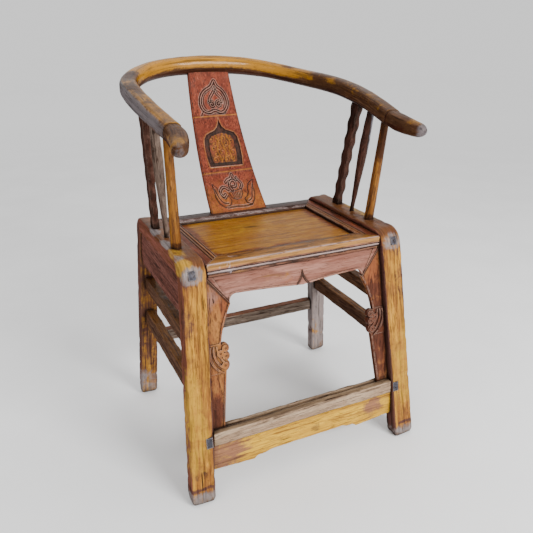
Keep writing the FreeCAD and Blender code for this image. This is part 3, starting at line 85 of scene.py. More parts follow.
camera_place = (-484.155, -1057.519, 862.075)
yaw, pitch, roll = 0.43490646, 0.38755072, 0.00343380
photo_width, photo_lens, sensor_width = 533, 534.8367, 36
forward = Vector((math.sin(yaw) * math.cos(pitch), math.cos(yaw) * math.cos(pitch), -math.sin(pitch)))
right = Vector((math.cos(yaw), -math.sin(yaw), 0))
down = forward.cross(right)
side = right * math.cos(roll) + down * math.sin(roll)
down = down * math.cos(roll) - right * math.sin(roll)
data = bpy.data.cameras.new("camera")
data.sensor_width = sensor_width
data.lens = photo_lens / photo_width * sensor_width
data.clip_start = 0.05
camera = bpy.data.objects.new("camera", data)
rotation = Matrix((side, -down, -forward)).transposed().to_4x4()
camera.matrix_world = Matrix.Translation(placed(camera_place)) @ rotation
bpy.context.scene.collection.objects.link(camera)
bpy.context.scene.camera = camera


# materials

class Paint:
    """Node tree of one material, with a short call for each kind of node."""

    def __init__(self, name):
        self.material = bpy.data.materials.new(name)
        self.material.use_nodes = True
        self.nodes = self.material.node_tree.nodes
        self.links = self.material.node_tree.links
        self.nodes.clear()

    def add(self, kind, inputs=(), output=0, **settings):
        """Output of a new node, or all of them for None; inputs are in order or by name."""
        node = self.nodes.new(kind)
        for key, value in settings.items():
            setattr(node, key, value)
        for key, value in inputs.items() if isinstance(inputs, dict) else enumerate(inputs):
            socket = node.inputs[key]
            if isinstance(value, bpy.types.NodeSocket):
                self.links.new(value, socket)
            elif value is not None:
                has_alpha = hasattr(socket.default_value, "__len__") and len(socket.default_value) == 4
                socket.default_value = (*value, 1) if has_alpha and len(value) == 3 else value
        return node.outputs if output is None else node.outputs[output]

    def math(self, operation, a, b=None):
        return self.add("ShaderNodeMath", (a, b), operation=operation)

    def plus(self, a, b):
        return self.math("ADD", a, b)

    def minus(self, a, b):
        return self.math("SUBTRACT", a, b)

    def times(self, a, b):
        return self.math("MULTIPLY", a, b)

    def vector(self, operation, a, b=None, output=0):
        return self.add("ShaderNodeVectorMath", (a, b), output, operation=operation)

    def mix(self, share, a, b):
        return self.add("ShaderNodeMix", {0: share, 6: a, 7: b}, 2, data_type="RGBA")

    def steps(self, value, low, high, to_low=0.0, to_high=1.0):
        """Value taken from one range to another, smoothly and clamped."""
        ends = (value, low, high, to_low, to_high)
        return self.add("ShaderNodeMapRange", ends, interpolation_type="SMOOTHSTEP")

    def mapped(self, vector, scale, location=(0, 0, 0), rotation=(0, 0, 0)):
        return self.add("ShaderNodeMapping", {"Vector": vector, "Scale": scale, "Location": location,
                                              "Rotation": rotation})

    def noise(self, vector, scale=1.0, detail=3.0, rough=0.5, twist=0.0):
        return self.add("ShaderNodeTexNoise", {"Vector": vector, "Scale": scale, "Detail": detail,
                                               "Roughness": rough, "Distortion": twist})

    def cells(self, vector, scale=1.0):
        return self.add("ShaderNodeTexVoronoi", {"Vector": vector, "Scale": scale}, "Distance")

    def where(self):
        """Place on the object, in metres."""
        return self.add("ShaderNodeTexCoord", output="Object")

    def attribute(self, name):
        return self.add("ShaderNodeAttribute", output="Vector", attribute_name=name)

    def parts(self, vector):
        return self.add("ShaderNodeSeparateXYZ", (vector,), None)

    def normal(self):
        return self.add("ShaderNodeNewGeometry", output="Normal")

    def openness(self, distance):
        """1 on open faces, less in corners and carving."""
        return self.add("ShaderNodeAmbientOcclusion", {"Distance": distance}, "AO", samples=4)

    def edges(self, radius):
        """1 on sharp edges, 0 on flat faces."""
        bevel = self.add("ShaderNodeBevel", {"Radius": radius}, samples=4)
        return self.steps(self.vector("DOT_PRODUCT", bevel, self.normal(), 1), 0.995, 0.86)

    def bump(self, height, distance, strength=1.0, below=None):
        return self.add("ShaderNodeBump", {"Height": height, "Distance": distance, "Strength": strength,
                                           "Normal": below})

    def surface(self, colour, roughness, normal, coat, coat_rough, specular, tint=(1, 1, 1)):
        shader = self.add("ShaderNodeBsdfPrincipled", {
            "Base Color": colour, "Roughness": roughness, "Normal": normal, "Coat Weight": coat,
            "Coat Roughness": coat_rough, "Specular IOR Level": specular, "Specular Tint": tint})
        self.links.new(shader, self.nodes.new("ShaderNodeOutputMaterial").inputs[0])
        return self.material


def scaled(tone, factor):
    return tuple(c * factor for c in tone)


turns = {"X": (0, math.pi / 2, 0), "Y": (math.pi / 2, 0, 0), "Z": (0, 0, 0)}
soot, gold = (0.014, 0.008, 0.006), (0.38, 0.18, 0.010)
plum, silver = (0.085, 0.036, 0.030), (0.19, 0.155, 0.125)
# strength of the painted shade in corners and carving
painted_corner_shade = 0.85


def wood(name, grain, light, mid, streak, worn, front=None, top=None, wear=0.4, gloss=0.3, offset=0.0,
         cracks=0.5, painted_edge_highlight=0.3, foot=None, spots=(), tones=(gold, soot, silver), arcs=(), fleck=0.75, rag=1.9):
    """Old wood under a thin worn lacquer. The grain runs along an axis, or as the mesh says.

    light and mid colour the growth bands, streak the dark streaks, worn the rubbed places and,
    mixed with pale, the painted highlight on convex edges.
    front and top give other colours for faces turned that way: partly the wood's own colour, partly
    painted light on faces turned to the lamps and painted shade on the others. foot darkens below a height.
    Each spot is a centre, a radius, a tone's number and a strength. Each arc is a line cut in
    the front view: the middle and radius of its circle and the box that holds it.
    """
    p = Paint(name)
    mix, steps, plus, minus, times = p.mix, p.steps, p.plus, p.minus, p.times
    place = p.where()
    along = p.attribute("grain") if grain == "own" else p.mapped(place, (1, 1, 1), rotation=turns[grain])
    along = p.mapped(along, (1, 1, 1), (offset, offset * 1.7, offset * 0.6))

    def drawn_out(across, length, detail, rough=0.6, twist=0.0, start=0.0):
        """Noise drawn out along the grain."""
        return p.noise(p.mapped(along, (across, across, length), (start, 0, 0)), 1, detail, rough, twist)

    bands = drawn_out(46, 4, 4, twist=0.7)
    streaks = drawn_out(170, 8, 3, twist=0.5)
    fibres = drawn_out(480, 22, 3)
    pores = drawn_out(850, 60, 2, 0.5)
    flecks = drawn_out(330, 34, 3, start=5.3)
    clouds = p.noise(place, 11, 4, 0.6, 0.4)
    blots = p.noise(place, 36, 5, 0.65, 0.8)
    face = p.parts(p.normal())

    def grained(tone_light, tone_mid):
        bright = tuple(min(c * 1.7 + 0.02, 1) for c in tone_light)
        colour = mix(steps(bands, 0.38, 0.62), tone_light, tone_mid)
        colour = mix(steps(streaks, 0.5, 0.68, 0, 0.85), colour, streak)
        colour = mix(steps(flecks, 0.56, 0.62, 0, fleck), colour, streak)
        colour = mix(steps(flecks, 0.42, 0.34, 0, fleck * 0.5), colour, bright)
        return mix(steps(fibres, 0.5, 0.74, 0, 0.55), colour, streak)

    colour = grained(light, mid)

    def lay(share, tone):
        nonlocal colour
        colour = mix(share, colour, tone)

    lay(steps(clouds, 0.5, 0.72, 0, 0.7), mid)
    # faces turned to the front and upwards take other colours: partly their own, partly painted light and
    # painted shade
    if front is not None:
        ahead = steps(plus(face[1], times(minus(blots, 0.5), 0.3)), -0.5, -0.85)
        lay(ahead, mix(steps(clouds, 0.52, 0.7, 0, 0.6), grained(*front[:2]), front[2]))
    if top is not None:
        lay(steps(face[2], 0.4, 0.85), grained(*top))
    # broad stains: the mesh's own tones, some of which are painted shade and painted highlight, and the spots
    ragged = times(minus(plus(times(blots, 0.6), times(streaks, 0.4)), 0.5), rag)
    shares = list(p.parts(p.attribute("tone")))
    for centre, radius, number, strength in spots:
        away = p.vector("SUBTRACT", place, tuple(placed(centre)))
        reach = p.vector("LENGTH", p.vector("DIVIDE", away, scaled(radius, mm)), None, 1)
        shares[number] = plus(shares[number], steps(reach, 1.25, 0.35, 0, strength))
    for number, tone in enumerate(tones):
        if grain == "own" or any(spot[2] == number for spot in spots):
            present = steps(shares[number], 0.0, 0.12)
            share = steps(plus(shares[number], ragged), 0.3, 0.7, 0, 0.94)
            tint = mix(steps(bands, 0.4, 0.64, 0, 0.6), tone, scaled(tone, 0.6))
            tint = mix(steps(streaks, 0.48, 0.68, 0, 0.8), tint, scaled(tone, 0.3))
            lay(times(share, present), tint)
    # lacquer gone in patches and on edges, then a painted highlight along convex edges
    edge = p.edges(0.0035)
    rubbed = steps(plus(blots, times(edge, 0.12)), 0.7 - wear * 0.14, 0.8 - wear * 0.1)
    lay(times(rubbed, 0.7), worn)
    tight = p.openness(0.005)
    # painted highlight on convex edges, kept out of creases, in a pale mix of the worn colour
    bright = times(times(edge, steps(blots, 0.36, 0.52, 0, painted_edge_highlight)), steps(tight, 0.8, 0.97))
    lay(bright, mix(0.5, worn, (0.52, 0.44, 0.36)))
    if foot is not None:
        level, wet, dry = foot
        low = steps(plus(p.parts(place)[2], times(blots, 0.05)), level + 0.045, level)
        lay(times(low, 0.85), mix(steps(blots, 0.42, 0.6), wet, dry))
    # dark pores, knots, short splits, painted shade in corners and carving, and specks
    lay(steps(pores, 0.6, 0.72, 0, 0.6), soot)
    knot = steps(p.cells(p.mapped(along, (9, 9, 3.2))), 0.1, 0.035)
    lay(times(knot, 0.75), soot)
    split = drawn_out(300, 9, 2, 0.5, start=3.1)
    gate = steps(p.noise(place, 9, 2), 0.6 - cracks * 0.16, 0.66 - cracks * 0.14)
    crack = times(steps(split, 0.635, 0.68), gate)
    lay(times(crack, 0.9), soot)
    # painted shade in corners, creases and carving, from how open the surface is, at two reaches
    lay(steps(tight, 0.9, 0.55, 0, painted_corner_shade), soot)
    lay(steps(p.openness(0.018), 0.9, 0.35, 0, painted_corner_shade), soot)
    specks = p.cells(place, 150)
    lay(times(steps(specks, 0.15, 0.08), steps(blots, 0.48, 0.6)), soot)
    cut = None
    for (middle_x, middle_z), radius, (left_x, low_z), (right_x, high_z) in arcs:
        away = p.vector("SUBTRACT", place, tuple(placed((middle_x, 0, middle_z))))
        reach = p.vector("LENGTH", p.vector("MULTIPLY", away, (1, 0, 1)), None, 1)
        line = steps(p.math("ABSOLUTE", minus(reach, radius * mm)), 0.0016, 0.0007)
        spot_x, _, spot_z = p.parts(place)
        for value, low, high in ((spot_x, left_x, right_x), (spot_z, low_z, high_z)):
            line = times(line, p.math("GREATER_THAN", value, low * mm))
            line = times(line, p.math("LESS_THAN", value, high * mm))
        cut = line if cut is None else p.math("MAXIMUM", cut, line)
    # the cut lines are painted dark: painted shade in the leaf's grooves, dark joints at the mitres
    if cut is not None:
        lay(times(cut, 0.92), soot)
    rough = steps(plus(times(rubbed, 0.5), times(clouds, 0.6)), 0.12, 0.85, 0.3, 0.7)
    height = plus(times(fibres, 0.5), times(streaks, 0.5))
    height = minus(height, times(steps(pores, 0.6, 0.72), 0.6))
    height = minus(height, times(crack, 2.0))
    height = minus(height, times(rubbed, 0.35))
    hollows = p.bump(p.noise(place, 42), 0.0016, 0.5)
    normal = p.bump(height, 0.0005, 0.9, hollows)
    # faces turned sideways stay dull, and the lacquer shines where gold is left
    specular = steps(p.math("ABSOLUTE", face[0]), 0.85, 0.45, 0.0, 0.09)
    coat = gloss * 0.12
    if grain == "own":
        coat = times(steps(shares[0], 0.2, 0.8, 0.15, 1.0), gloss * 0.4)
    return p.surface(colour, rough, normal, coat, 0.2, specular, (0.9, 0.62, 0.42))


# lines cut in the front view: leaf of the front apron, drawn dark as painted shade in its grooves, and dark
# joints between apron and spandrels

leaf_x, leaf_drop, leaf_high, leaf_half = 9.0, 50.0, 32.0, 17.5
mitre_drop, mitre_reach, mitre_gap = 58.0, 49.5, 1.6


def circle_through(a, b, c):
    """Middle and radius of the circle through three points of a front view."""
    (ax, az), (bx, bz), (cx, cz) = a, b, c
    d = 2 * (ax * (bz - cz) + bx * (cz - az) + cx * (az - bz))
    a2, b2, c2 = ax * ax + az * az, bx * bx + bz * bz, cx * cx + cz * cz
    middle = ((a2 * (bz - cz) + b2 * (cz - az) + c2 * (az - bz)) / d,
              (a2 * (cx - bx) + b2 * (ax - cx) + c2 * (bx - ax)) / d)
    return middle, math.hypot(ax - middle[0], az - middle[1])


def leaf_arcs(inset):
    """Cut lines on both sides of the leaf, drawn dark as painted shade in their grooves."""
    base, high, half = seat_under - leaf_drop, leaf_high - inset * 2.2, leaf_half - inset
    arcs = []
    for side in (1, -1):
        ends = ((leaf_x + side * half * share, base + high * up)
                for share, up in ((0, 1), (0.3, 0.45), (1, 0)))
        low_x, high_x = sorted((leaf_x, leaf_x + side * (half + 0.5)))
        arcs.append((*circle_through(*ends), (low_x, base - 4), (high_x, base + high)))
    return arcs


def mitre_arcs():
    """Dark joint lines between the apron and the spandrels, as arcs of huge circles."""
    arcs = []
    for side in (1, -1):
        (ax, az), (bx, bz) = (
            (side * inner_at(-half_depth, seat_under), seat_under),
            (side * (inner_at(-half_depth, seat_under - mitre_drop) - mitre_reach), seat_under - mitre_drop))
        run = math.hypot(bx - ax, bz - az)
        across = (-(bz - az) / run, (bx - ax) / run)
        for step in (-mitre_gap, mitre_gap):
            a, b = ((x + across[0] * step, z + across[1] * step) for x, z in ((ax, az), (bx, bz)))
            middle = ((a[0] + b[0]) / 2 + across[0] * 0.05, (a[1] + b[1]) / 2 + across[1] * 0.05)
            low, high = zip(sorted((a[0], b[0])), sorted((a[1], b[1])))
            arcs.append((*circle_through(a, middle, b), low, high))
    return arcs


# colours, and the woods made from them

honey, honey_mid, stain = (0.41, 0.195, 0.024), (0.25, 0.095, 0.020), (0.105, 0.038, 0.018)
red, red_mid, dark_wood = (0.115, 0.024, 0.009), (0.062, 0.014, 0.007), (0.022, 0.008, 0.005)
amber, mauve, bare = (0.26, 0.080, 0.010), (0.22, 0.092, 0.060), (0.25, 0.145, 0.070)
# lilac is a worn colour and also the painted sheen on the rails; the moulding tones are gold, painted shade
# for the grooves and a painted lilac highlight
grey, lilac_wear_and_sheen = (0.26, 0.185, 0.115), (0.46, 0.38, 0.40)
moulding_tones_with_painted_light = ((0.36, 0.17, 0.045), (0.022, 0.008, 0.006), (0.40, 0.27, 0.25))

# the frame's sides are dark red-brown partly as painted shade, its front faces honey
frame_wood = wood(
    "frame_wood", "own", (0.19, 0.066, 0.046), (0.11, 0.036, 0.025), (0.085, 0.032, 0.010), amber,
    front=(honey, honey_mid, stain), top=((0.15, 0.058, 0.020), (0.075, 0.030, 0.016)),
    foot=(0.012, (0.035, 0.022, 0.015), (0.15, 0.12, 0.085)), painted_edge_highlight=0.85, cracks=0.3, fleck=0.66,
    tones=((0.45, 0.240, 0.024), plum, (0.25, 0.21, 0.205)))
front_rail_wood = wood(
    "front_rail_wood", "own", red_mid, dark_wood, soot, lilac_wear_and_sheen, tones=moulding_tones_with_painted_light, offset=0.31, gloss=0.4, painted_edge_highlight=1.0,
    front=((0.25, 0.105, 0.060), (0.16, 0.070, 0.046), (0.33, 0.17, 0.04)),
    top=((0.22, 0.088, 0.011), (0.11, 0.038, 0.009)))
rear_rail_wood = wood(
    "rear_rail_wood", "own", red_mid, dark_wood, soot, lilac_wear_and_sheen, tones=moulding_tones_with_painted_light, offset=0.51, gloss=0.4, painted_edge_highlight=0.9,
    top=((0.050, 0.021, 0.015), (0.025, 0.011, 0.009)))
side_rail_wood = wood(
    "side_rail_wood", "own", red_mid, dark_wood, soot, (0.30, 0.15, 0.06), offset=0.77, gloss=0.4, painted_edge_highlight=0.8,
    tones=((0.27, 0.095, 0.024), *moulding_tones_with_painted_light[1:]), top=((0.20, 0.045, 0.012), (0.09, 0.020, 0.008)))
side_apron_wood = wood(
    "side_apron_wood", "Y", (0.15, 0.056, 0.042), (0.09, 0.031, 0.022), dark_wood, red, offset=1.1)
panel_wood = wood(
    "panel_wood", "X", (0.28, 0.124, 0.008), (0.215, 0.080, 0.007), (0.11, 0.037, 0.007), gold,
    offset=1.3, gloss=0.35, cracks=0.3, tones=(gold, (0.14, 0.034, 0.009), silver), spots=[
        ((-178, 20, 480), (40, 200, 30), 1, 0.95), ((172, 20, 480), (36, 200, 30), 1, 0.75),
        ((-20, 30, 480), (110, 60, 30), 0, 0.45), ((-40, -118, 480), (190, 26, 30), 1, 0.55)])
carved_wood = wood(
    "carved_wood", "X", (0.31, 0.148, 0.112), (0.205, 0.084, 0.060), (0.12, 0.044, 0.030), amber,
    offset=2.1, gloss=0.35, painted_edge_highlight=0.6, fleck=0.28, tones=(gold, (0.125, 0.050, 0.036), (0.36, 0.17, 0.07)),
    spots=[((-205, -200, 430), (90, 60, 60), 1, 0.62), ((-60, -200, 440), (70, 60, 26), 2, 0.42)],
    arcs=leaf_arcs(0.0) + leaf_arcs(3.4) + mitre_arcs())
carved_upright = wood(
    "carved_upright", "Z", (0.30, 0.125, 0.036), (0.20, 0.060, 0.024), (0.05, 0.016, 0.010), mauve,
    offset=2.9, gloss=0.35, painted_edge_highlight=0.5, fleck=0.35, cracks=0.0, arcs=mitre_arcs(),
    tones=(gold, (0.085, 0.026, 0.016), (0.30, 0.150, 0.11)), spots=[
        ((180, -230, 300), (70, 90, 240), 1, 0.85), ((-190, -200, 420), (40, 60, 40), 2, 0.6),
        ((-215, -240, 190), (60, 60, 135), 1, 0.85)])
# pale front face and darker top: partly the wood's colour, partly painted light and painted shade
foot_rail_wood = wood(
    "foot_rail_wood", "X", (0.10, 0.065, 0.042), (0.07, 0.044, 0.030), dark_wood, bare,
    front=((0.39, 0.28, 0.185), (0.29, 0.19, 0.12), grey), top=((0.22, 0.145, 0.085), (0.12, 0.078, 0.048)),
    fleck=0.35, wear=0.7, offset=3.7, gloss=0.1, painted_edge_highlight=0.9)
foot_apron_wood = wood(
    "foot_apron_wood", "X", (0.60, 0.34, 0.028), (0.46, 0.24, 0.022), (0.17, 0.065, 0.014), bare,
    wear=0.3, offset=4.4, fleck=0.4, painted_edge_highlight=0.5, tones=(gold, (0.085, 0.045, 0.03), (0.24, 0.105, 0.065)),
    spots=[((-205, -240, 95), (95, 60, 60), 2, 0.72), ((20, -240, 85), (20, 60, 26), 1, 0.55),
           ((170, -240, 90), (40, 60, 40), 2, 0.7)])
stretcher_x = wood(
    "stretcher_x", "X", (0.18, 0.135, 0.105), (0.105, 0.078, 0.060), dark_wood, bare, offset=5.2,
    top=((0.19, 0.052, 0.014), (0.10, 0.030, 0.010)))
stretcher_y = wood(
    "stretcher_y", "Y", (0.105, 0.050, 0.027), (0.060, 0.028, 0.016), dark_wood, bare, offset=6.1,
    top=((0.15, 0.062, 0.016), (0.09, 0.036, 0.013)))
post_wood = wood(
    "post_wood", "own", (0.23, 0.094, 0.016), (0.125, 0.044, 0.012), (0.065, 0.027, 0.012), gold, offset=7.3,
    tones=(gold, (0.05, 0.018, 0.009), silver))
pale_slat_wood = wood(
    "pale_slat_wood", "own", (0.20, 0.145, 0.115), (0.115, 0.080, 0.062), dark_wood, red, offset=6.9, painted_edge_highlight=0.6)
# its third tone is a bluish painted highlight
slat_wood = wood(
    "slat_wood", "own", (0.068, 0.027, 0.019), (0.036, 0.015, 0.011), soot, red, offset=7.9, painted_edge_highlight=0.6,
    tones=(gold, soot, (0.24, 0.235, 0.27)))
# splat tones: orange wood, painted shade with darker wood in the carving, and painted highlight
splat_wood = wood(
    "splat_wood", "own", (0.225, 0.050, 0.027), (0.145, 0.030, 0.018), (0.075, 0.018, 0.013), amber,
    offset=8.2, cracks=0.1, wear=0.1, fleck=0.95, rag=0.7, painted_edge_highlight=0.08,
    tones=((0.36, 0.130, 0.016), (0.034, 0.026, 0.023), (0.42, 0.27, 0.22)))
# crest tones: gold, dark wood that also carries painted underside shade, and grey
crest_wood = wood(
    "crest_wood", "own", (0.095, 0.042, 0.018), (0.048, 0.021, 0.010), dark_wood, (0.16, 0.075, 0.02),
    offset=9.4, gloss=0.75, tones=((0.38, 0.165, 0.011), (0.045, 0.013, 0.007), (0.135, 0.115, 0.120)))
hidden_wood = wood(
    "hidden_wood", "X", (0.12, 0.07, 0.035), (0.07, 0.04, 0.022), dark_wood, bare, gloss=0.0)
peg_wood = wood(
    "peg_wood", "Y", (0.070, 0.072, 0.092), (0.040, 0.040, 0.050), soot, (0.2, 0.2, 0.22), offset=1.9,
    painted_edge_highlight=0.6, fleck=0.3)


# mesh helpers

def smooth_curve(points, count):
    """Evenly spaced points on a smooth curve through the given points."""
    p = np.array(points, float)
    t = np.concatenate([[0], np.cumsum(np.linalg.norm(np.diff(p, axis=0), axis=1))])
    h = np.diff(t)
    n = len(p)
    a = np.zeros((n, n))
    r = np.zeros(p.shape)
    a[0, 0] = a[-1, -1] = 1
    for i in range(1, n - 1):
        a[i, i - 1:i + 2] = h[i - 1], 2 * (h[i - 1] + h[i]), h[i]
        r[i] = 6 * ((p[i + 1] - p[i]) / h[i] - (p[i] - p[i - 1]) / h[i - 1])
    m = np.linalg.solve(a, r)
    s = np.linspace(0, t[-1], count * 8)
    i = np.clip(np.searchsorted(t, s) - 1, 0, n - 2)
    u, v, g = (t[i + 1] - s)[:, None], (s - t[i])[:, None], h[i][:, None]
    fine = (m[i] * u ** 3 + m[i + 1] * v ** 3) / (6 * g) + (p[i] / g - m[i] * g / 6) * u \
        + (p[i + 1] / g - m[i + 1] * g / 6) * v
    run = np.concatenate([[0], np.cumsum(np.linalg.norm(np.diff(fine, axis=0), axis=1))])
    even = np.linspace(0, run[-1], count)
    return np.stack([np.interp(even, run, fine[:, k]) for k in range(p.shape[1])], 1)


def ring_offsets(width, depth, radius, per_side, per_corner):
    """Points round a rectangle with rounded corners, centred, anticlockwise."""
    radius = min(radius, width / 2 - 0.01, depth / 2 - 0.01)
    points = []
    for corner, (i, j) in enumerate(((1, 1), (-1, 1), (-1, -1), (1, -1))):
        centre = ((width / 2 - radius) * i, (depth / 2 - radius) * j)
        for k in range(per_corner + 1):
            turn = math.pi / 2 * (corner + k / per_corner)
            points.append((centre[0] + radius * math.cos(turn), centre[1] + radius * math.sin(turn)))
        flat = (depth if corner in (1, 3) else width) - radius * 2
        start_x, start_y = points[-1]
        step_x, step_y = ((-1, 0), (0, -1), (1, 0), (0, 1))[corner]
        for k in range(1, per_side):
            points.append((start_x + step_x * flat * k / per_side, start_y + step_y * flat * k / per_side))
    return points


def dressed(name, vertices, faces, grain, tones, finish, node, sharp=None):
    """Piece with its grain and tones on its points, riding on the root and standing for a node."""
    mesh = bpy.data.meshes.new(name)
    mesh.from_pydata([placed(v) for v in vertices], [], faces)
    mesh.update()
    piece = bpy.data.objects.new(name, mesh)
    bpy.context.scene.collection.objects.link(piece)
    form = bmesh.new()
    form.from_mesh(mesh)
    bmesh.ops.recalc_face_normals(form, faces=form.faces)
    form.to_mesh(mesh)
    form.free()
    for title, values in (("grain", [scaled(g, mm) for g in grain]), ("tone", tones)):
        layer = mesh.attributes.new(title, "FLOAT_VECTOR", "POINT")
        layer.data.foreach_set("vector", [c for value in values for c in value])
    mesh.polygons.foreach_set("use_smooth", [True] * len(mesh.polygons))
    if sharp:
        mesh.set_sharp_from_angle(angle=sharp)
    mesh.materials.append(finish)
    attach(piece, "root")
    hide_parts(node)


def skin(name, rings, finish, node, tone):
    """Closed mesh over rings of points with their grain; its tones are a function of the place."""
    count, last = len(rings[0]), (len(rings) - 1) * len(rings[0])
    vertices, grain = (list(values) for values in zip(*(pair for ring in rings for pair in ring)))
    faces = []
    for a in range(0, last, count):
        for i in range(count):
            j = (i + 1) % count
            faces.append((a + i, a + j, a + count + j, a + count + i))
    for first, flip in ((0, True), (last, False)):
        for values in (vertices, grain):
            values.append(sum((Vector(v) for v in values[first:first + count]), Vector()) / count)
        for i in range(count):
            pair = (first + (i + 1) % count, first + i)
            faces.append((*(pair if flip else pair[::-1]), len(vertices) - 1))
    dressed(name, vertices, faces, grain, [tone(v) for v in vertices], finish, node)


def lumps(point, scale, seed):
    """Smooth noise from -1 to 1 about a point, with features of a scale in millimetres."""
    return noise.noise(Vector(point) / scale + Vector((seed * 17.3, seed * 5.1, -seed * 9.7)))


def ring_about(centre, across, up, offsets, bumps, run, side=1, share=1.0):
    """Ring of points with their grain; bumps are sizes, scales and seeds of its unevenness."""
    ring = []
    for a, b in offsets:
        spot = centre + across * a + up * b
        swell = sum(size * lumps(spot, scale, seed) for size, scale, seed in bumps)
        spot += (across * a + up * b).normalized() * swell * share
        ring.append(((spot.x * side, spot.y, spot.z), (a, b, run)))
    return ring


def stained(spots):
    """Tones of a mesh from listed spots: centre, radius, tone's number and strength."""
    def tone(point):
        shares = [0.0, 0.0, 0.0]
        for centre, radius, number, strength in spots:
            reach = math.sqrt(sum(((a - b) / r) ** 2 for a, b, r in zip(point, centre, radius)))
            if reach < 1.3:
                t = clamped((1.3 - reach) / 0.8)
                shares[number] = max(shares[number], strength * t * t * (3 - 2 * t))
        return shares
    return tone


# side frames: one timber, bent twice

leg_stations, rail_stations, bend_stations = 84, 46, 12
leg_corner, foot_round, below_floor = 4.5, 12.0, -2.0


def arc_points(before, corner, after, radius):
    """Arc that rounds a corner, as points from its start to its end."""
    a = (Vector(before) - Vector(corner)).normalized()
    b = (Vector(after) - Vector(corner)).normalized()
    half = a.angle(b) / 2
    start = Vector(corner) + a * (radius / math.tan(half))
    centre = Vector(corner) + (a + b).normalized() * (radius / math.sin(half))
    end = Vector(corner) + b * (radius / math.tan(half))
    from_centre = start - centre
    turn = math.copysign(1, from_centre.cross(end - centre))
    points = []
    for k in range(bend_stations + 1):
        angle = turn * (math.pi - half * 2) * k / bend_stations
        points.append(centre + Vector((from_centre.x * math.cos(angle) - from_centre.y * math.sin(angle),
                                       from_centre.x * math.sin(angle) + from_centre.y * math.cos(angle))))
    return points


def outline(foot, head, far_head, far_foot, radius):
    """Side view of one face of the bent timber, in stations along it."""
    first = arc_points(foot, head, far_head, radius)
    second = arc_points(head, far_head, far_foot, radius)
    leg, rail = range(leg_stations), range(1, rail_stations)
    points = [Vector(foot).lerp(first[0], (k / leg_stations) ** 1.5) for k in leg]
    points += first + [first[-1].lerp(second[0], k / rail_stations) for k in rail] + second
    return points + [second[-1].lerp(Vector(far_foot), 1 - (1 - (k + 1) / leg_stations) ** 1.5) for k in leg]


def leg_faces(z):
    """Side-view points of both legs' outer and inner faces at a height, from front to rear."""
    front = -half_depth - front_rake * (1 - z / frame_height)
    rear = half_depth + rear_rake * (1 - z / frame_height)
    inner = rear - rear_foot_depth - (rear_leg_depth - rear_foot_depth) * z / frame_height
    return (front, z), (front + front_run, z), (inner, z), (rear, z)


def leaned(x, y, z):
    """Place of an upright point once the frame leans outwards."""
    across, up = x - pivot_x, z - frame_height
    return Vector((pivot_x + across * math.cos(lean) - up * math.sin(lean), y,
                   frame_height + across * math.sin(lean) + up * math.cos(lean)))


def bent_frame(side, word, spots):
    """Worn bent timber of one side, from the front foot over the top to the rear foot."""
    foot, head, under = leg_faces(below_floor), leg_faces(frame_height), leg_faces(rail_under)
    outer = outline(foot[0], head[0], head[3], foot[3], bend_radius)
    inner = outline(foot[1], under[1], under[2], foot[2], inner_bend_radius)
    rings, run = [], 0.0
    for k, (o, i) in enumerate(zip(outer, inner)):
        if k:
            run += ((o - outer[k - 1]).length + (i - inner[k - 1]).length) / 2
        share = ((o + i).x / 2 + half_depth) / frame_depth
        width = leg_front + (leg_rear - leg_front) * share
        face = half_front + (half_rear - half_front) * share
        depth = (o - i).length
        height = max(min(o.y, i.y), 0)
        tuck = 0.0
        if height < foot_round:
            tuck = foot_round - math.sqrt(max(foot_round ** 2 - (foot_round - height) ** 2, 0))
        ring, into = [], (i - o).normalized()
        for a, b in ring_offsets(width - tuck * 2, depth - tuck * 2, leg_corner, 9, 5):
            spot = o + into * (b + depth / 2)
            x = face - width / 2 + a
            rough = Vector((x * side, spot.x, spot.y))
            corner = min(abs(abs(a) - width / 2), 6) + min(abs(abs(b) - depth / 2), 6)
            swell = 0.55 * lumps(rough, 34, 1) + 0.25 * lumps(rough, 11, 2)
            if corner < 7:
                swell -= max(0, lumps(rough, 16, 3) - 0.12) * 3.4
            direction = Vector((a / width, b / depth)).normalized()
            spot = spot + into * direction.y * swell
            point = leaned(x + direction.x * swell, spot.x, spot.y)
            ring.append(((point.x * side, point.y, max(point.z, 0.0)), (a * side, b, run)))
        rings.append(ring)
    by_hand = stained(spots)

    def tone(point):
        shares = by_hand(point)
        # the legs' inner faces below the rail take the plum tone as painted shade
        if point[2] < rail_under and abs(point[0]) < inner_at(point[1], point[2]) + 2.5:
            shares[1] = max(shares[1], 0.85)
        return shares

    skin("bent_frame_" + word, rings, frame_wood, "side_frame_" + word, tone)


# stains, listed one by one; the left side mirrors the shared ones
frame_spots = [
    # grey worn patch round the peg at the top of the front leg
    ((226, -184, 474), (30, 26, 26), 2, 0.6),
    # brown below it, yellow lower down, dark line over the worn foot
    ((262, -206, 395), (40, 40, 70), 1, 0.5), ((268, -236, 190), (60, 60, 150), 0, 0.55),
    ((252, -250, 66), (30, 30, 12), 1, 0.4), ((280, -252, 37), (60, 40, 5), 1, 0.85),
    ((262, -252, 10), (60, 60, 26), 2, 0.6), ((262, -252, 16), (60, 60, 22), 1, 0.5),
]
right_spots = [
    ((240, -190, 470), (40, 46, 40), 1, 0.55), ((264, -178, 490), (26, 36, 20), 0, 0.5),
    ((262, 190, 210), (60, 60, 190), 2, 1.0), ((258, 186, 420), (60, 60, 60), 1, 0.8),
    ((262, 190, 40), (60, 60, 50), 2, 0.7), ((250, -120, 500), (30, 40, 10), 1, 0.5),
    ((250, -40, 500), (30, 100, 10), 0, 0.62),
]
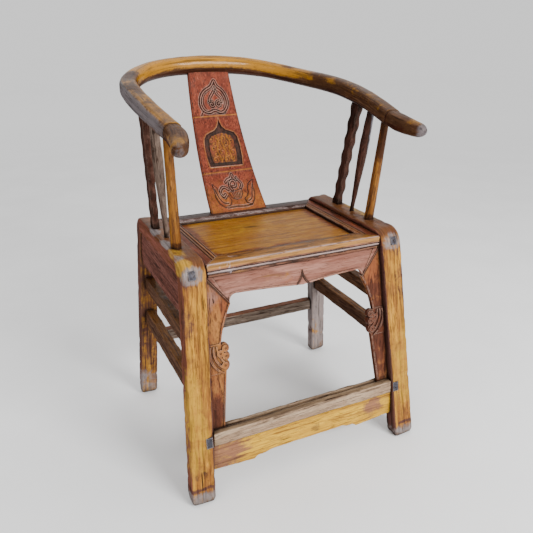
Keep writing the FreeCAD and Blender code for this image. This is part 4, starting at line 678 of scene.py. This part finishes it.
left_spots = [
    ((-254, -172, 488), (36, 40, 26), 0, 0.78), ((-238, -190, 470), (24, 30, 30), 1, 0.6),
    ((-250, -116, 500), (34, 36, 14), 0, 0.6), ((-246, -140, 500), (18, 20, 12), 2, 0.6),
    ((-250, -60, 500), (26, 36, 8), 2, 0.7), ((-250, 30, 500), (26, 34, 8), 2, 0.7),
    ((-275, -146, 474), (10, 18, 26), 2, 0.9), ((-262, 186, 300), (80, 80, 330), 1, 0.62),
    ((-275, 186, 250), (30, 40, 60), 0, 0.3), ((-275, 190, 40), (60, 60, 50), 2, 0.6),
]
mirrored_spots = [((-x, y, z), *rest) for (x, y, z), *rest in frame_spots]
bent_frame(1, "right", frame_spots + right_spots)
bent_frame(-1, "left", mirrored_spots + left_spots)


# seat rails: moulded strips, mitred at the corners

seat_front = -half_depth + 4.0
open_front, open_rear = seat_front + front_rail_wide, seat_rear - rear_rail_wide
edge_round = 0.8
bead_wide, bead_deep, bead_count = 7.4, 2.8, 2


def opening_x(y):
    """Distance of the seat opening's side edge from the middle."""
    return inner_at(y, seat_top) - side_rail_wide


def moulding_tone(node):
    """Light beads and gold bands, painted shade in the grooves, and a painted lilac highlight on the front
    bead, the front edge and the rear rail's bead tops.
    """
    def front_tone(point):
        out, drop = open_front - point[1], seat_top - point[2]
        if out <= 30:
            return [0.0, 0.0, 0.0]
        edge = out > 38.5 and drop < 1.2
        # gold top band, painted shade in the two grooves, painted lilac highlight on the edge and the bead
        return [0.8 * (not edge and drop < 9), 0.8 * (12.8 < drop < 14.4 or 19.2 < drop < 21.4),
                0.75 * (edge or 14.6 < drop < 19.0)]

    def bead_tone(point):
        x, y, z = point
        out = y - open_rear if "rear" in node else abs(x) - opening_x(y)
        if seat_top - z >= 5 or not 1.5 < out < bead_wide * 2 + 3:
            return [0.0, 0.0, 0.0]
        lift = (z - (seat_top - bead_deep)) / bead_deep
        light = 0.85 * (lift > 0.5) * ("rear" not in node)
        # light bead tops, painted shade in the grooves, painted lilac highlight on the rear rail's bead tops
        return [light, 1.0 * (lift < 0.35), 0.5 * (lift > 0.5) * ("rear" in node)]

    return front_tone if "front" in node else bead_tone


def seat_rail(node, start, end, width, profile, finish, seed):
    """Rail between two mitres, each from the opening's edge to the outer edge, over a profile."""
    rings = []
    (start_in, start_out), (end_in, end_out) = ([Vector(p) for p in mitre] for mitre in (start, end))
    for k in range(121):
        ring = []
        for distance, z in profile:
            across = distance / width
            spot = start_in.lerp(start_out, across).lerp(end_in.lerp(end_out, across), k / 120)
            swell = 0.22 * lumps((spot.x, spot.y, z), 26, seed) * (z > seat_under + 1)
            ring.append(((spot.x, spot.y, z + min(swell, 0.2)), (distance, z, (spot - start_in).length)))
        rings.append(ring)
    skin(node + "_shape", rings, finish, node, moulding_tone(node))


# profiles: distances from the seat's opening, and heights
bead_rows = [(0, seat_under), (0, seat_top - edge_round), (edge_round, seat_top), (1.8, seat_top)]
for i in range(bead_count):
    for share in (k / 8 for k in range(9)):
        bead_rows.append((2.4 + bead_wide * (i + share),
                          seat_top - bead_deep + bead_deep * 1.1 * math.sin(math.pi * share)))
bead_rows += [(x, seat_top) for x in (bead_wide * bead_count + 3.2, 20, 26, 32)]
side_profile, rear_profile = (
    bead_rows + [(wide - edge_round, seat_top), (wide, seat_top - edge_round), (wide, seat_under)]
    for wide in (side_rail_wide, rear_rail_wide))
front_profile = [(x, seat_top - drop) for x, drop in (
    (0, seat_thick), (0, edge_round), (edge_round, 0), (12, 0), (26, 0), (37.6, 0), (38.8, 0), (40.6, 0.5),
    (41.6, 1.6), (42, 3), (41.6, 6), (41.4, 8.5), (42, 12.2), (41.2, 13.4), (39.2, 14))]
for turn in (math.pi * k / 8 for k in range(9)):
    front_profile.append((39.4 + 2.5 * math.sin(turn), seat_top - 16.9 + 2.5 * math.cos(turn)))
front_profile += [(38.2, seat_top - 20), (39, seat_top - 20.6), (39, seat_under)]

front_right = [(opening_x(open_front), open_front), (inner_at(seat_front, seat_top), seat_front)]
rear_right = [(opening_x(open_rear), open_rear), (inner_at(seat_rear, seat_top), seat_rear)]
front_left, rear_left = ([(-x, y) for x, y in mitre] for mitre in (front_right, rear_right))
for word, start, end, width, profile, finish, seed in (
        ("right", front_right, rear_right, side_rail_wide, side_profile, side_rail_wood, 31),
        ("left", front_left, rear_left, side_rail_wide, side_profile, side_rail_wood, 32),
        ("front", front_left, front_right, front_rail_wide, front_profile, front_rail_wood, 33),
        ("rear", rear_left, rear_right, rear_rail_wide, rear_profile, rear_rail_wood, 34)):
    seat_rail("seat_rail_" + word, start, end, width, profile, finish, seed)


# crest rail and hand grips

# section at the back, the arm and the end: width, height and share of roundness
crest_wide, crest_high, crest_soft = (41.0, 38.5, 35.0), (45.0, 38.0, 33.0), (0.97, 0.7, 0.66)
right_side = []
for across, reach, down in ((0, 1, 0), (0.62, 0.943, 0.131), (0.851, 0.8, 0.294), (0.992, 0.492, 0.487),
                            (0.986, 0.221, 0.729), (0.934, 0, 1)):
    right_side.append((crest_half_width * across, crest_end_y + (crest_back_y - crest_end_y) * reach,
                       crest_back_z - crest_drop * down))
crest_line = smooth_curve([(-x, y, z) for x, y, z in right_side[:0:-1]] + right_side, 321)


def eased(share, values):
    """Value between the back, the arm and the end of the crest rail."""
    t = share * 2 if share < 0.5 else share * 2 - 1
    low, high = values[:2] if share < 0.5 else values[1:]
    return low + (high - low) * t * t * (3 - 2 * t)


def upright(direction):
    """Side and up directions square to a direction."""
    up = (Vector((0, 0, 1)) - direction * direction.z).normalized()
    return direction.cross(up).normalized(), up


crest_patches = stained([
    ((-236, 200, 816), (70, 70, 16), 1, 0.55), ((-150, 282, 838), (60, 26, 10), 1, 0.5),
    ((190, 250, 822), (60, 40, 10), 1, 0.55), ((-250, 90, 780), (16, 60, 16), 1, 0.5)])


def crest_tone(point):
    """Gold on the upper and front faces, darker below with painted underside shade on dark wood, grey outside
    the left arm.
    """
    gilt = dark_and_underside_shade = worn = 0.0
    back = clamped((point[1] - 120) / 160)
    arm = 1 - back
    nearest = crest_line[np.argmin(np.sum((crest_line - np.array(point)) ** 2, 1))]
    lift = (point[2] - nearest[2]) / 20
    inward = (math.hypot(nearest[0], nearest[1] - 60) - math.hypot(point[0], point[1] - 60)) / 20
    if back > 0:
        gilt = back * clamped((lift + inward * 0.35 + 0.28) * 1.3)
        # below the centre line: dark wood with painted underside shade
        dark_and_underside_shade = back * clamped((-lift - 0.05) * 1.1, 0.75)
    if point[0] < 0:
        gilt = max(gilt, arm * clamped(lift * 0.8, 0.5))
        dark_and_underside_shade = max(dark_and_underside_shade, arm * clamped(inward * 0.6, 0.5))
        worn = arm * clamped((-inward - 0.5) * 2.4, 0.9)
    else:
        gilt = max(gilt, arm * clamped(lift * 0.7 + 0.05, 0.36))
        dark_and_underside_shade = max(dark_and_underside_shade, arm * clamped(-lift * 0.8 + 0.1, 0.8))
    patch = crest_patches(point)[1]
    return [gilt * (1 - patch), max(dark_and_underside_shade, patch), worn]


def crest_rail():
    """Worn crest rail, round at the back and squarer along the arms."""
    rings, run = [], 0.0
    last = len(crest_line) - 1
    for k in range(last + 1):
        centre = Vector(crest_line[k])
        ahead = Vector(crest_line[min(k + 1, last)]) - Vector(crest_line[max(k - 1, 0)])
        side, up = upright(ahead.normalized())
        share = abs(k / last * 2 - 1)
        wide, high = eased(share, crest_wide), eased(share, crest_high)
        soft = eased(share, crest_soft) * min(wide, high) / 2
        if k:
            run += (centre - Vector(crest_line[k - 1])).length
        rings.append(ring_about(centre, side, up, ring_offsets(wide, high, soft, 5, 7),
                                ((0.6, 46, 4), (0.3, 13, 5)), run))
    skin("crest_rail_shape", rings, crest_wood, "crest_rail", crest_tone)


crest_rail()

grip_wide, grip_high, grip_corner = 34.0, 31.5, 13.0
grip_reach, grip_out, grip_down, grip_knee = 94, 29.0, 19.0, 42
tip_start, tip_length = 0.84, 0.16


def hand_grip(side, word):
    """Hand grip that turns outwards, with a worn rounded end."""
    start = Vector(crest_line[-1])
    way = (start - Vector(crest_line[-3])).normalized()
    tip = start + way * grip_reach + Vector((grip_out, 0, -grip_down + grip_reach * abs(way.z)))
    knee = start + way * grip_knee
    stations = [k / 40 * tip_start for k in range(40)]
    stations += [tip_start + tip_length * math.sin(math.pi / 2 * k / 14) for k in range(15)]
    rings = []
    for t in stations:
        centre = start * (1 - t) ** 2 + knee * (2 * t * (1 - t)) + tip * t ** 2
        across, up = upright(((knee - start) * (1 - t) + (tip - knee) * t).normalized())
        size = 1.0 if t <= tip_start else math.sqrt(max(1 - ((t - tip_start) / tip_length) ** 2, 0.004))
        taper = 1 + 0.06 * math.sin(math.pi * min(t / tip_start, 1)) - 0.17 * max(t - 0.35, 0) / 0.65
        offsets = ring_offsets(grip_wide * size * taper, grip_high * size * taper, grip_corner * size, 5, 7)
        rings.append(ring_about(centre, across, up, offsets, ((0.7, 24, 6 + side), (0.3, 9, 7)), t * 100,
                                side, size))
    end_x, start_x = tip.x * side, start.x * side
    spots = [((end_x, tip.y, tip.z), (28, 18, 28), 2, 0.42 + 0.25 * (side > 0)),
             ((end_x, tip.y + 16, tip.z + 6), (24, 10, 14), 0, 0.5),
             ((start_x, start.y - 20, start.z - 16), (40, 50, 14), 1, 0.7),
             ((end_x, tip.y + 30, tip.z + 14), (30, 40, 12), 0, 0.5),
             ((start_x, start.y, start.z), (40, 5, 40), 1, 0.9)]
    skin(f"hand_grip_{word}_shape", rings, crest_wood, "hand_grip_" + word, stained(spots))


hand_grip(1, "right")
hand_grip(-1, "left")


# arm posts

def crest_at(y):
    """Point of the right arm's centre line at a y."""
    half = crest_line[len(crest_line) // 2:]
    half = half[half[:, 1] < 250]
    return Vector(half[np.argmin(np.abs(half[:, 1] - y))])


def post(side, name, node, y, inset, top_y, section, finish, seed):
    """Post from the bent rail's top to the crest rail; section gives its sizes along its length."""
    sunk, bow_size = 4, 1.6
    face = half_front + (half_rear - half_front) * (y + half_depth) / frame_depth - inset
    foot = Vector((pivot_x + (face - pivot_x) * math.cos(lean), y,
                   frame_height + (face - pivot_x) * math.cos(lean) * math.sin(lean)))
    top = crest_at(top_y)
    up = (top - foot).normalized()
    across = (Vector((1, 0, 0)) - up * up.x).normalized()
    back = up.cross(across)
    length = (top - foot).length
    foot = foot - up * sunk
    rings = []
    for share in (k / 120 for k in range(121)):
        bow = math.sin(math.pi * share) * lumps((seed * 31.0, 0, 0), 7, seed) * bow_size
        centre = foot + up * ((length + sunk) * share) + across * bow
        rings.append(ring_about(centre, across, back, ring_offsets(*section(share), 3, 6),
                                ((0.35, 17, seed), (0.2, 6, seed + 1)), share * length, side))
    middle = foot.lerp(top, 0.5)
    spots = [((foot.x * side, foot.y, foot.z + 6), (30, 30, 16), 1, 0.6),
             ((middle.x * side, middle.y, middle.z + 80), (40, 40, 60), 1, 0.35 + 0.2 * (side > 0))]
    if finish is post_wood and side > 0:
        spots.append(((top.x, top.y, top.z - 50), (30, 40, 105), 1, 0.62))
    # bluish painted highlight near the top of the right middle slat
    if finish is slat_wood and "middle" in name:
        spots.append(((top.x + 6, top.y - 4, top.z - 50), (12, 40, 120), 2, 0.62))
    skin(name, rings, finish, node, stained(spots))


def front_section(share):
    """Round and tapering; every section gives a thickness, a width and a corner radius."""
    size = 21.5 + (16.5 - 21.5) * share
    return size, size, size / 2


def middle_section(share):
    """Round and swelling, like a bottle."""
    shares, sizes = (0, 0.12, 0.3, 0.5, 0.66, 0.82, 1), (9.5, 10.5, 14.5, 19.6, 21.0, 18.6, 15.0)
    size = float(np.interp(share, shares, sizes))
    return size, size, size / 2


def rear_section(share):
    """Flat, with seven waves along both edges."""
    wave = math.sin(share * math.pi * 2 * 7) * 2.2
    return 15.0, 23.0 + 5.0 * share + wave * 2, 3.2


for side, side_word in ((1, "right"), (-1, "left")):
    for word, y, inset, top_y, section, finish, seed in (
            ("front", -84.0, 18.8, -107.0, front_section, post_wood, 11),
            ("middle", -13.0, 19.8, -47.0, middle_section, slat_wood if side > 0 else pale_slat_wood, 15),
            ("rear", 61.0, 15.5, 13.0, rear_section, slat_wood, 19)):
        post(side, f"arm_post_{word}_shape_{side_word}", f"arm_post_{word}_{side_word}", y, inset, top_y,
             section, finish, seed + side)


# back splat: its carving is worked out as heights over a fine grid

splat_foot = Vector((seat_rear - 20.0, seat_top))
splat_top = Vector((crest_back_y - 13.0, crest_back_z - crest_high[0] / 4))
columns, rows, back_corner, front_corner = 190, 470, 1.5, 2.0


def splat_surface(share, offset):
    """Side-view point of the bent board, an offset behind its front face."""
    chord = splat_top - splat_foot
    away = Vector((chord.y, -chord.x)).normalized()
    half = chord.length / 2
    radius = (half ** 2 + splat_bow ** 2) / (splat_bow * 2)
    centre = splat_foot + chord / 2 - away * (radius - splat_bow)
    swing = math.asin(half / radius)
    angle = -swing + swing * 2 * share
    return centre + (away * math.cos(angle) + chord.normalized() * math.sin(angle)) * (radius + offset)


def distance_to(x, z, points, closed=False):
    """Distance from each grid point to a line through points."""
    if closed:
        points = list(points) + [points[0]]
    best = np.full(x.shape, 1e9)
    for (x0, z0), (x1, z1) in zip(points[:-1], points[1:]):
        near = (x > min(x0, x1) - 9) & (x < max(x0, x1) + 9) & (z > min(z0, z1) - 9) & (z < max(z0, z1) + 9)
        dx, dz = x1 - x0, z1 - z0
        size = dx * dx + dz * dz
        if near.any() and size >= 1e-9:
            t = np.clip(((x[near] - x0) * dx + (z[near] - z0) * dz) / size, 0, 1)
            best[near] = np.minimum(best[near], np.hypot(x[near] - x0 - t * dx, z[near] - z0 - t * dz))
    return best


def inside(x, z, points):
    """Which grid points lie inside a closed line."""
    result = np.zeros(x.shape, bool)
    for (x0, z0), (x1, z1) in zip(points, list(points[1:]) + [points[0]]):
        if z0 != z1:
            result ^= ((z0 > z) != (z1 > z)) & (x < (x1 - x0) * (z - z0) / (z1 - z0) + x0)
    return result


def drawn(points, closed=False):
    """Smooth line through the given points."""
    if closed:
        loop = points[-3:] + points + points[:3]
        line = smooth_curve(loop, len(loop) * 10)
        cut = len(line) * 3 // len(loop)
        return [tuple(p) for p in line[cut:len(line) - cut + 1]]
    return [tuple(p) for p in smooth_curve(points, len(points) * 10)]


def bell(distance, width):
    return np.exp(-(distance / width) ** 2)


def carve_splat(x, z):
    """Heights of the carving above the board, and its three tones: painted shade with darker wood in grooves
    and hollows, orange, and painted highlight on ridges and edges with a pale painted reflection haze at the
    top.
    """
    height, painted_shade_and_dark, orange, painted_highlight = (np.zeros(x.shape) for _ in range(4))

    def groove(width, depth, points, ridge=0.0, smooth=True):
        nonlocal height, painted_shade_and_dark, painted_highlight
        d = distance_to(x, z, drawn(points) if smooth else points)
        height = height - depth * 1.3 * bell(d, width * 1.3) + ridge * bell(d - width * 2.4, width * 0.9)
        # painted shade in the groove, and a painted highlight along its edges
        painted_shade_and_dark = np.maximum(painted_shade_and_dark, bell(d, width * 1.35))
        painted_highlight = np.maximum(painted_highlight, 0.58 * bell(d - width * 2.9, width * 0.9))

    def raised_line(width, lift, points, closed=False):
        nonlocal height, painted_shade_and_dark, painted_highlight
        d = distance_to(x, z, drawn(points, closed), closed)
        height = height + lift * bell(d, width) - lift * 0.8 * bell(d - width * 2.2, width)
        # painted shade at the line's foot, and a painted highlight on its top and beside it
        painted_shade_and_dark = np.maximum(painted_shade_and_dark, bell(d - width * 2.2, width * 1.15))
        painted_highlight = np.maximum(painted_highlight, 0.72 * bell(d, width * 0.9))
        painted_highlight = np.maximum(painted_highlight, 0.6 * bell(d - width * 4.2, width * 0.9))

    def raised_form(ease, lift, moat, moat_at, moat_wide, shade, shade_wide, points):
        nonlocal height, painted_shade_and_dark
        covered, edge = inside(x, z, points), distance_to(x, z, points, True)
        soft = np.clip(edge / ease, 0, 1)
        outside = height - moat * bell(edge - moat_at, moat_wide)
        height = np.where(covered, height + lift * soft * (2 - soft), outside)
        painted_shade_and_dark = np.where(covered, painted_shade_and_dark, np.maximum(painted_shade_and_dark, shade * bell(edge - 0.8, shade_wide)))

    # two ribs between the fields
    for level in (571.0, 700.0):
        d = np.abs(z - level - 0.02 * x)
        height = height + 1.7 * np.clip(1.6 - d / 2.2, 0, 1)
        # painted shade beside each rib, and a painted highlight along it
        painted_shade_and_dark = np.maximum(painted_shade_and_dark, 0.5 * bell(d - 4.2, 1.1))
        painted_highlight = np.maximum(painted_highlight, 0.42 * bell(d + 0.8, 1.2))
        orange = np.maximum(orange, 0.62 * bell(d, 2.6))
    # top field: a round of flames over two curls
    raised_line(1.3, 1.5, [
        (-29, 714), (-35, 728), (-33, 742), (-24, 757), (-10, 766), (2, 774), (10, 784), (14, 774), (24, 765),
        (34, 752), (38, 738), (35, 722), (27, 712), (16, 708), (0, 713), (-15, 709)], True)
    groove(0.9, 1.0, [(-20, 716), (-27, 729), (-25, 743), (-17, 755), (-6, 761), (3, 767)])
    groove(0.9, 1.0, [(25, 718), (30, 730), (28, 745), (20, 757), (12, 763), (9, 771)])
    raised_line(1.2, 1.1, [(9, 768), (1, 754), (-7, 744), (-10, 736)])
    raised_line(1.1, 1.0, [(9, 762), (14, 751), (22, 742), (23, 733)])
    for middle, way in ((-5.0, -1), (14.0, 1)):
        curl = ((0.6 + k * 0.62, 9.0 * (1 - k / 17)) for k in range(16))
        raised_line(1.0, 1.3, [
            (middle + reach * math.cos(turn) * way, 728 + reach * math.sin(turn)) for turn, reach in curl])
    groove(1.0, 0.9, [(-31, 712), (-36, 706), (-38, 702)])
    groove(0.9, 0.8, [(-20, 709), (-8, 705), (8, 706), (22, 704), (30, 708)])
    # middle field: an arched frame, its band sunk round a carved panel
    arch = [(-44, 584), (-47, 606), (-46, 632), (-43, 648), (-36, 657), (-24, 662), (-12, 666), (-3, 674),
            (2, 684), (4, 694), (6, 684), (10, 674), (19, 666), (30, 663), (40, 659), (46, 649), (48, 628),
            (47, 604), (43, 584)]
    panel = [(-32, 592), (-35, 608), (-34, 630), (-31, 645), (-23, 653), (-10, 657), (4, 660), (18, 657),
             (29, 653), (34, 643), (35, 624), (34, 604), (31, 592)]
    arch_inside, panel_inside = inside(x, z, arch), inside(x, z, panel)
    arch_edge, panel_edge = distance_to(x, z, arch, True), distance_to(x, z, panel, True)
    band = arch_inside & ~panel_inside
    soft = np.clip(np.minimum(arch_edge, panel_edge) / 2.2, 0, 1)
    height = np.where(band, height - 2.3 * soft * soft * (3 - 2 * soft), height)
    # the sunk band is darker wood with painted shade towards its edges; the arch's edge gets a painted
    # highlight
    painted_shade_and_dark = np.where(band, np.maximum(painted_shade_and_dark, 0.66 + 0.25 * (1 - soft)), painted_shade_and_dark)
    painted_highlight = np.maximum(painted_highlight, 0.5 * bell(arch_edge - 1.2, 1.3) * ~band)
    height = height + 0.9 * bell(arch_edge, 1.2)
    orange = np.where(~arch_inside, np.maximum(orange, 0.6 * bell(arch_edge - 2.0, 2.2)), orange)
    # low scrolls and stems inside the panel
    scrolls = np.zeros(x.shape)
    for row in range(5):
        for column in range(4):
            middle_x = -23 + column * 15.0 + (4.0 if row % 2 else -2.0)
            middle_z = 600 + row * 12.0 + (3.0 if column % 2 else 0.0)
            angle, reach = np.arctan2(z - middle_z, x - middle_x), np.hypot(x - middle_x, z - middle_z)
            spin = 1 if (row + column) % 2 else -1
            scroll = np.cos(angle * spin - reach * 0.95) * np.clip(1 - reach / 8.5, 0, 1)
            scrolls = np.maximum(scrolls, scroll)
    for stem in (-12.0, 4.0, 20.0):
        scrolls = np.maximum(scrolls, 0.8 * bell(x - stem - 2.6 * np.sin((z - 590) / 7.0 + stem), 1.3))
    height = np.where(panel_inside, height + (scrolls - 0.35) * 1.7 * np.clip(panel_edge / 3, 0, 1), height)
    orange = np.where(panel_inside, 0.45 + 0.45 * scrolls, orange)
    # painted shade in the hollows between the scrolls
    painted_shade_and_dark = np.where(panel_inside, np.maximum(painted_shade_and_dark, np.clip(0.52 - scrolls, 0, 1) * 0.95), painted_shade_and_dark)
    # bottom field: a bowl between two flames, over a base line
    for flame in (
            [(-52, 546), (-50, 532), (-51, 519), (-46, 506), (-34, 497), (-19, 501), (-14, 508), (-18, 519),
             (-27, 512), (-35, 516), (-38, 527), (-43, 537)],
            [(57, 548), (53, 534), (53, 520), (48, 507), (37, 497), (26, 502), (24, 510), (32, 514),
             (38, 522), (39, 533), (45, 541)]):
        raised_form(1.8, 1.7, 1.0, 1.2, 1.2, 0.95, 1.3, flame)
    groove(0.8, 1.3, [(-49, 536), (-45, 519), (-36, 506), (-24, 503)])
    groove(0.8, 1.3, [(54, 538), (47, 522), (40, 508), (31, 504)])
    bowl = [(-14, 526), (-10, 515), (2, 511), (14, 513), (21, 522), (20, 531), (8, 528), (-4, 527)]
    raised_form(2.0, 1.5, 0.9, 1.0, 1.1, 0.9, 1.2, bowl)
    for rim_x in (-8 + k * 5.0 for k in range(6)):
        groove(0.6, 0.8, [(rim_x, 526), (rim_x + (6 - rim_x) * 0.35, 513)], smooth=False)
    raised_line(1.1, 1.3, [(-14, 532), (-24, 538), (-33, 534), (-36, 525), (-31, 519), (-25, 523)])
    raised_line(1.1, 1.2, [(20, 533), (25, 541), (20, 549), (15, 556)])
    raised_line(1.1, 1.3, [(-3, 530), (-8, 539), (-5, 547), (3, 551), (9, 546), (7, 538), (0, 538)])
    raised_line(1.1, 1.2, [(-16, 548), (-7, 554), (0, 556), (5, 564), (8, 556), (15, 552)])
    groove(1.0, 1.0, [(-28, 495), (-4, 496), (20, 495), (38, 497)], 0.5)
    # the lower fields are more orange, and the upper part gets a pale painted reflection haze
    orange = np.maximum(orange, 0.47 * np.clip((640 - z) / 120, 0, 1))
    painted_highlight = np.maximum(painted_highlight, 0.30 * np.clip((z - 660) / 90, 0, 1))
    painted_highlight = np.maximum(painted_highlight, 0.34 * np.clip((z - 770) / 40, 0, 1))
    return height, painted_shade_and_dark, orange, painted_highlight


def back_splat():
    """Carved board: a fine grid in front, and plain sides and back in full rows, so that it closes."""
    u = np.linspace(-1, 1, columns)
    shares = np.linspace(-0.015, 0.985, rows)
    side_view = np.array([splat_surface(s, 0) for s in shares])
    inward = np.array([splat_surface(s, 1) - splat_surface(s, 0) for s in shares])
    z_line = side_view[:, 1]
    narrowing = splat_top_half - splat_foot_half
    half = splat_foot_half + narrowing * (z_line - seat_top) / (splat_top.y - seat_top)
    x = u[None, :] * half[:, None]
    height, painted_shade_and_dark, orange, painted_highlight = carve_splat(x, np.repeat(z_line[:, None], columns, 1))
    from_side = (1 - np.abs(u))[None, :] * half[:, None]
    height = height * np.clip((from_side - 1.5) / 3, 0, 1)
    painted_shade_and_dark = np.maximum(painted_shade_and_dark, 0.62 * bell(from_side - 2.5, 1.6))
    dropped = np.clip(front_corner - from_side, 0, front_corner)
    height = height - (front_corner - np.sqrt(np.maximum(front_corner ** 2 - dropped ** 2, 0)))
    vertices, tones, faces = [], [], []
    for r in range(rows):
        for c in range(columns):
            lift = height[r, c] + 0.16 * lumps((x[r, c], 0, z_line[r]), 14, 23)
            vertices.append((x[r, c], *(side_view[r] - inward[r] * lift)))
            tones.append((orange[r, c], painted_shade_and_dark[r, c], painted_highlight[r, c]))
    back_start = len(vertices)
    for r in range(rows):
        for across in (-1, 1):
            for depth, tuck in ((splat_thick - back_corner, 0.0), (splat_thick, back_corner)):
                vertices.append((across * (half[r] - tuck), *(side_view[r] + inward[r] * depth)))
                tones.append((0.0, 0.3, 0.0))
    for left in range(0, (rows - 1) * columns, columns):
        for a in range(left, left + columns - 1):
            faces.append((a, a + 1, a + columns + 1, a + columns))
    for r in range(rows - 1):
        b, n = back_start + r * 4, back_start + (r + 1) * 4
        left, left_next = r * columns, (r + 1) * columns
        right, right_next = left + columns - 1, left_next + columns - 1
        faces += [(left, left_next, n, b), (b, n, n + 1, b + 1), (right_next, right, b + 2, n + 2),
                  (n + 2, b + 2, b + 3, n + 3), (b + 1, n + 1, n + 3, b + 3)]
    for r, flip in ((0, False), (rows - 1, True)):
        b = back_start + r * 4
        loop = [*range(r * columns, (r + 1) * columns), b + 2, b + 3, b + 1, b]
        faces.append(tuple(loop[::-1] if flip else loop))
    dressed("back_splat_shape", vertices, faces, vertices, tones, splat_wood, "back_splat",
            math.radians(50))


back_splat()


# CAD nodes that stay: worn edges, and a softer carved or hand-worked surface

worn_edge = 0.0009
clouds = bpy.data.textures.new("hand_worked", "CLOUDS")
clouds.noise_scale = 0.03
clouds.noise_depth = 2


def modified(piece, name, kind, **settings):
    modifier = piece.modifiers.new(name, kind)
    for key, value in settings.items():
        setattr(modifier, key, value)


def eased_edges(piece):
    """Small worn round on every sharp edge."""
    modified(piece, "weld", "WELD", merge_threshold=0.00002)
    modified(piece, "worn_edges", "BEVEL", width=worn_edge, segments=3, limit_method="ANGLE",
             angle_limit=math.radians(32), harden_normals=True)


def hand_worked(piece, voxel, passes, lump):
    """Rounded and slightly uneven surface, over a fine regular mesh."""
    modified(piece, "fine", "REMESH", mode="VOXEL", voxel_size=voxel, use_smooth_shade=True)
    modified(piece, "rounded", "SMOOTH", iterations=passes, factor=0.5)
    modified(piece, "uneven", "DISPLACE", texture=clouds, texture_coords="LOCAL", strength=lump,
             mid_level=0.5)


# by the start of a node's name: its wood, and how it is worked by hand
kept = {
    "seat_board": (panel_wood, None), "seat_batten": (hidden_wood, None), "front_apron": (carved_wood, None),
    "front_spandrel": (carved_upright, None), "rear_apron": (hidden_wood, None),
    "corner_pegs": (peg_wood, None), "foot_rail_pegs": (peg_wood, None),
    "side_apron": (side_apron_wood, (0.002, 4, 0.0012)), "foot_rail": (foot_rail_wood, (0.002, 5, 0.003)),
    "foot_rail_apron": (foot_apron_wood, (0.0018, 4, 0.0018)),
    "side_stretcher": (stretcher_y, (0.002, 4, 0.002)), "rear_stretcher": (stretcher_x, (0.002, 4, 0.002)),
}
for node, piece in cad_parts.items():
    if piece.hide_render:
        continue
    finish, working = kept[max((key for key in kept if node.startswith(key)), key=len)]
    piece.data.materials.clear()
    piece.data.materials.append(finish)
    if working:
        hand_worked(piece, *working)
    else:
        eased_edges(piece)


# stage: pale floor, white surround and soft lights

def soft_light(name, place, target, size, power):
    """Large soft lamp aimed at a point."""
    data = bpy.data.lights.new(name, "AREA")
    data.shape = "RECTANGLE"
    data.size = data.size_y = size
    data.energy = power
    lamp = bpy.data.objects.new(name, data)
    lamp.location = place
    lamp.rotation_euler = (Vector(target) - Vector(place)).to_track_quat("-Z", "Y").to_euler()
    bpy.context.scene.collection.objects.link(lamp)


def lay_floor():
    """Plain pale floor that fills every view and fades to white far out."""
    form = bmesh.new()
    bmesh.ops.create_grid(form, x_segments=8, y_segments=8, size=14)
    mesh = bpy.data.meshes.new("floor")
    form.to_mesh(mesh)
    form.free()
    floor = bpy.data.objects.new("floor", mesh)
    bpy.context.scene.collection.objects.link(floor)
    p = Paint("floor_paint")
    tone = p.noise(p.where(), 3)
    colour = p.mix(p.steps(tone, 0.3, 0.7), (0.84, 0.84, 0.84), (0.88, 0.88, 0.88))
    far = p.steps(p.vector("LENGTH", p.where(), None, 1), 1.5, 7.0)
    colour = p.mix(far, colour, (0.995, 0.995, 0.995))
    mesh.materials.append(p.surface(colour, 0.7, p.bump(tone, 0.0005, 0.2), 0, 0.3, 0.2))


lay_floor()
world = bpy.data.worlds.new("studio")
world.use_nodes = True
background = world.node_tree.nodes["Background"]
background.inputs["Color"].default_value = (1.0, 1.0, 1.0, 1)
background.inputs["Strength"].default_value = 1.0
bpy.context.scene.world = world
soft_light("key", (0.9, -2.6, 1.7), (0, 0, 0.4), 1.2, 120)
soft_light("fill", (-2.2, -1.6, 1.6), (0, 0, 0.4), 1.4, 10)
soft_light("overhead", (0.2, 0.5, 2.8), (0, 0, 0.5), 1.8, 16)
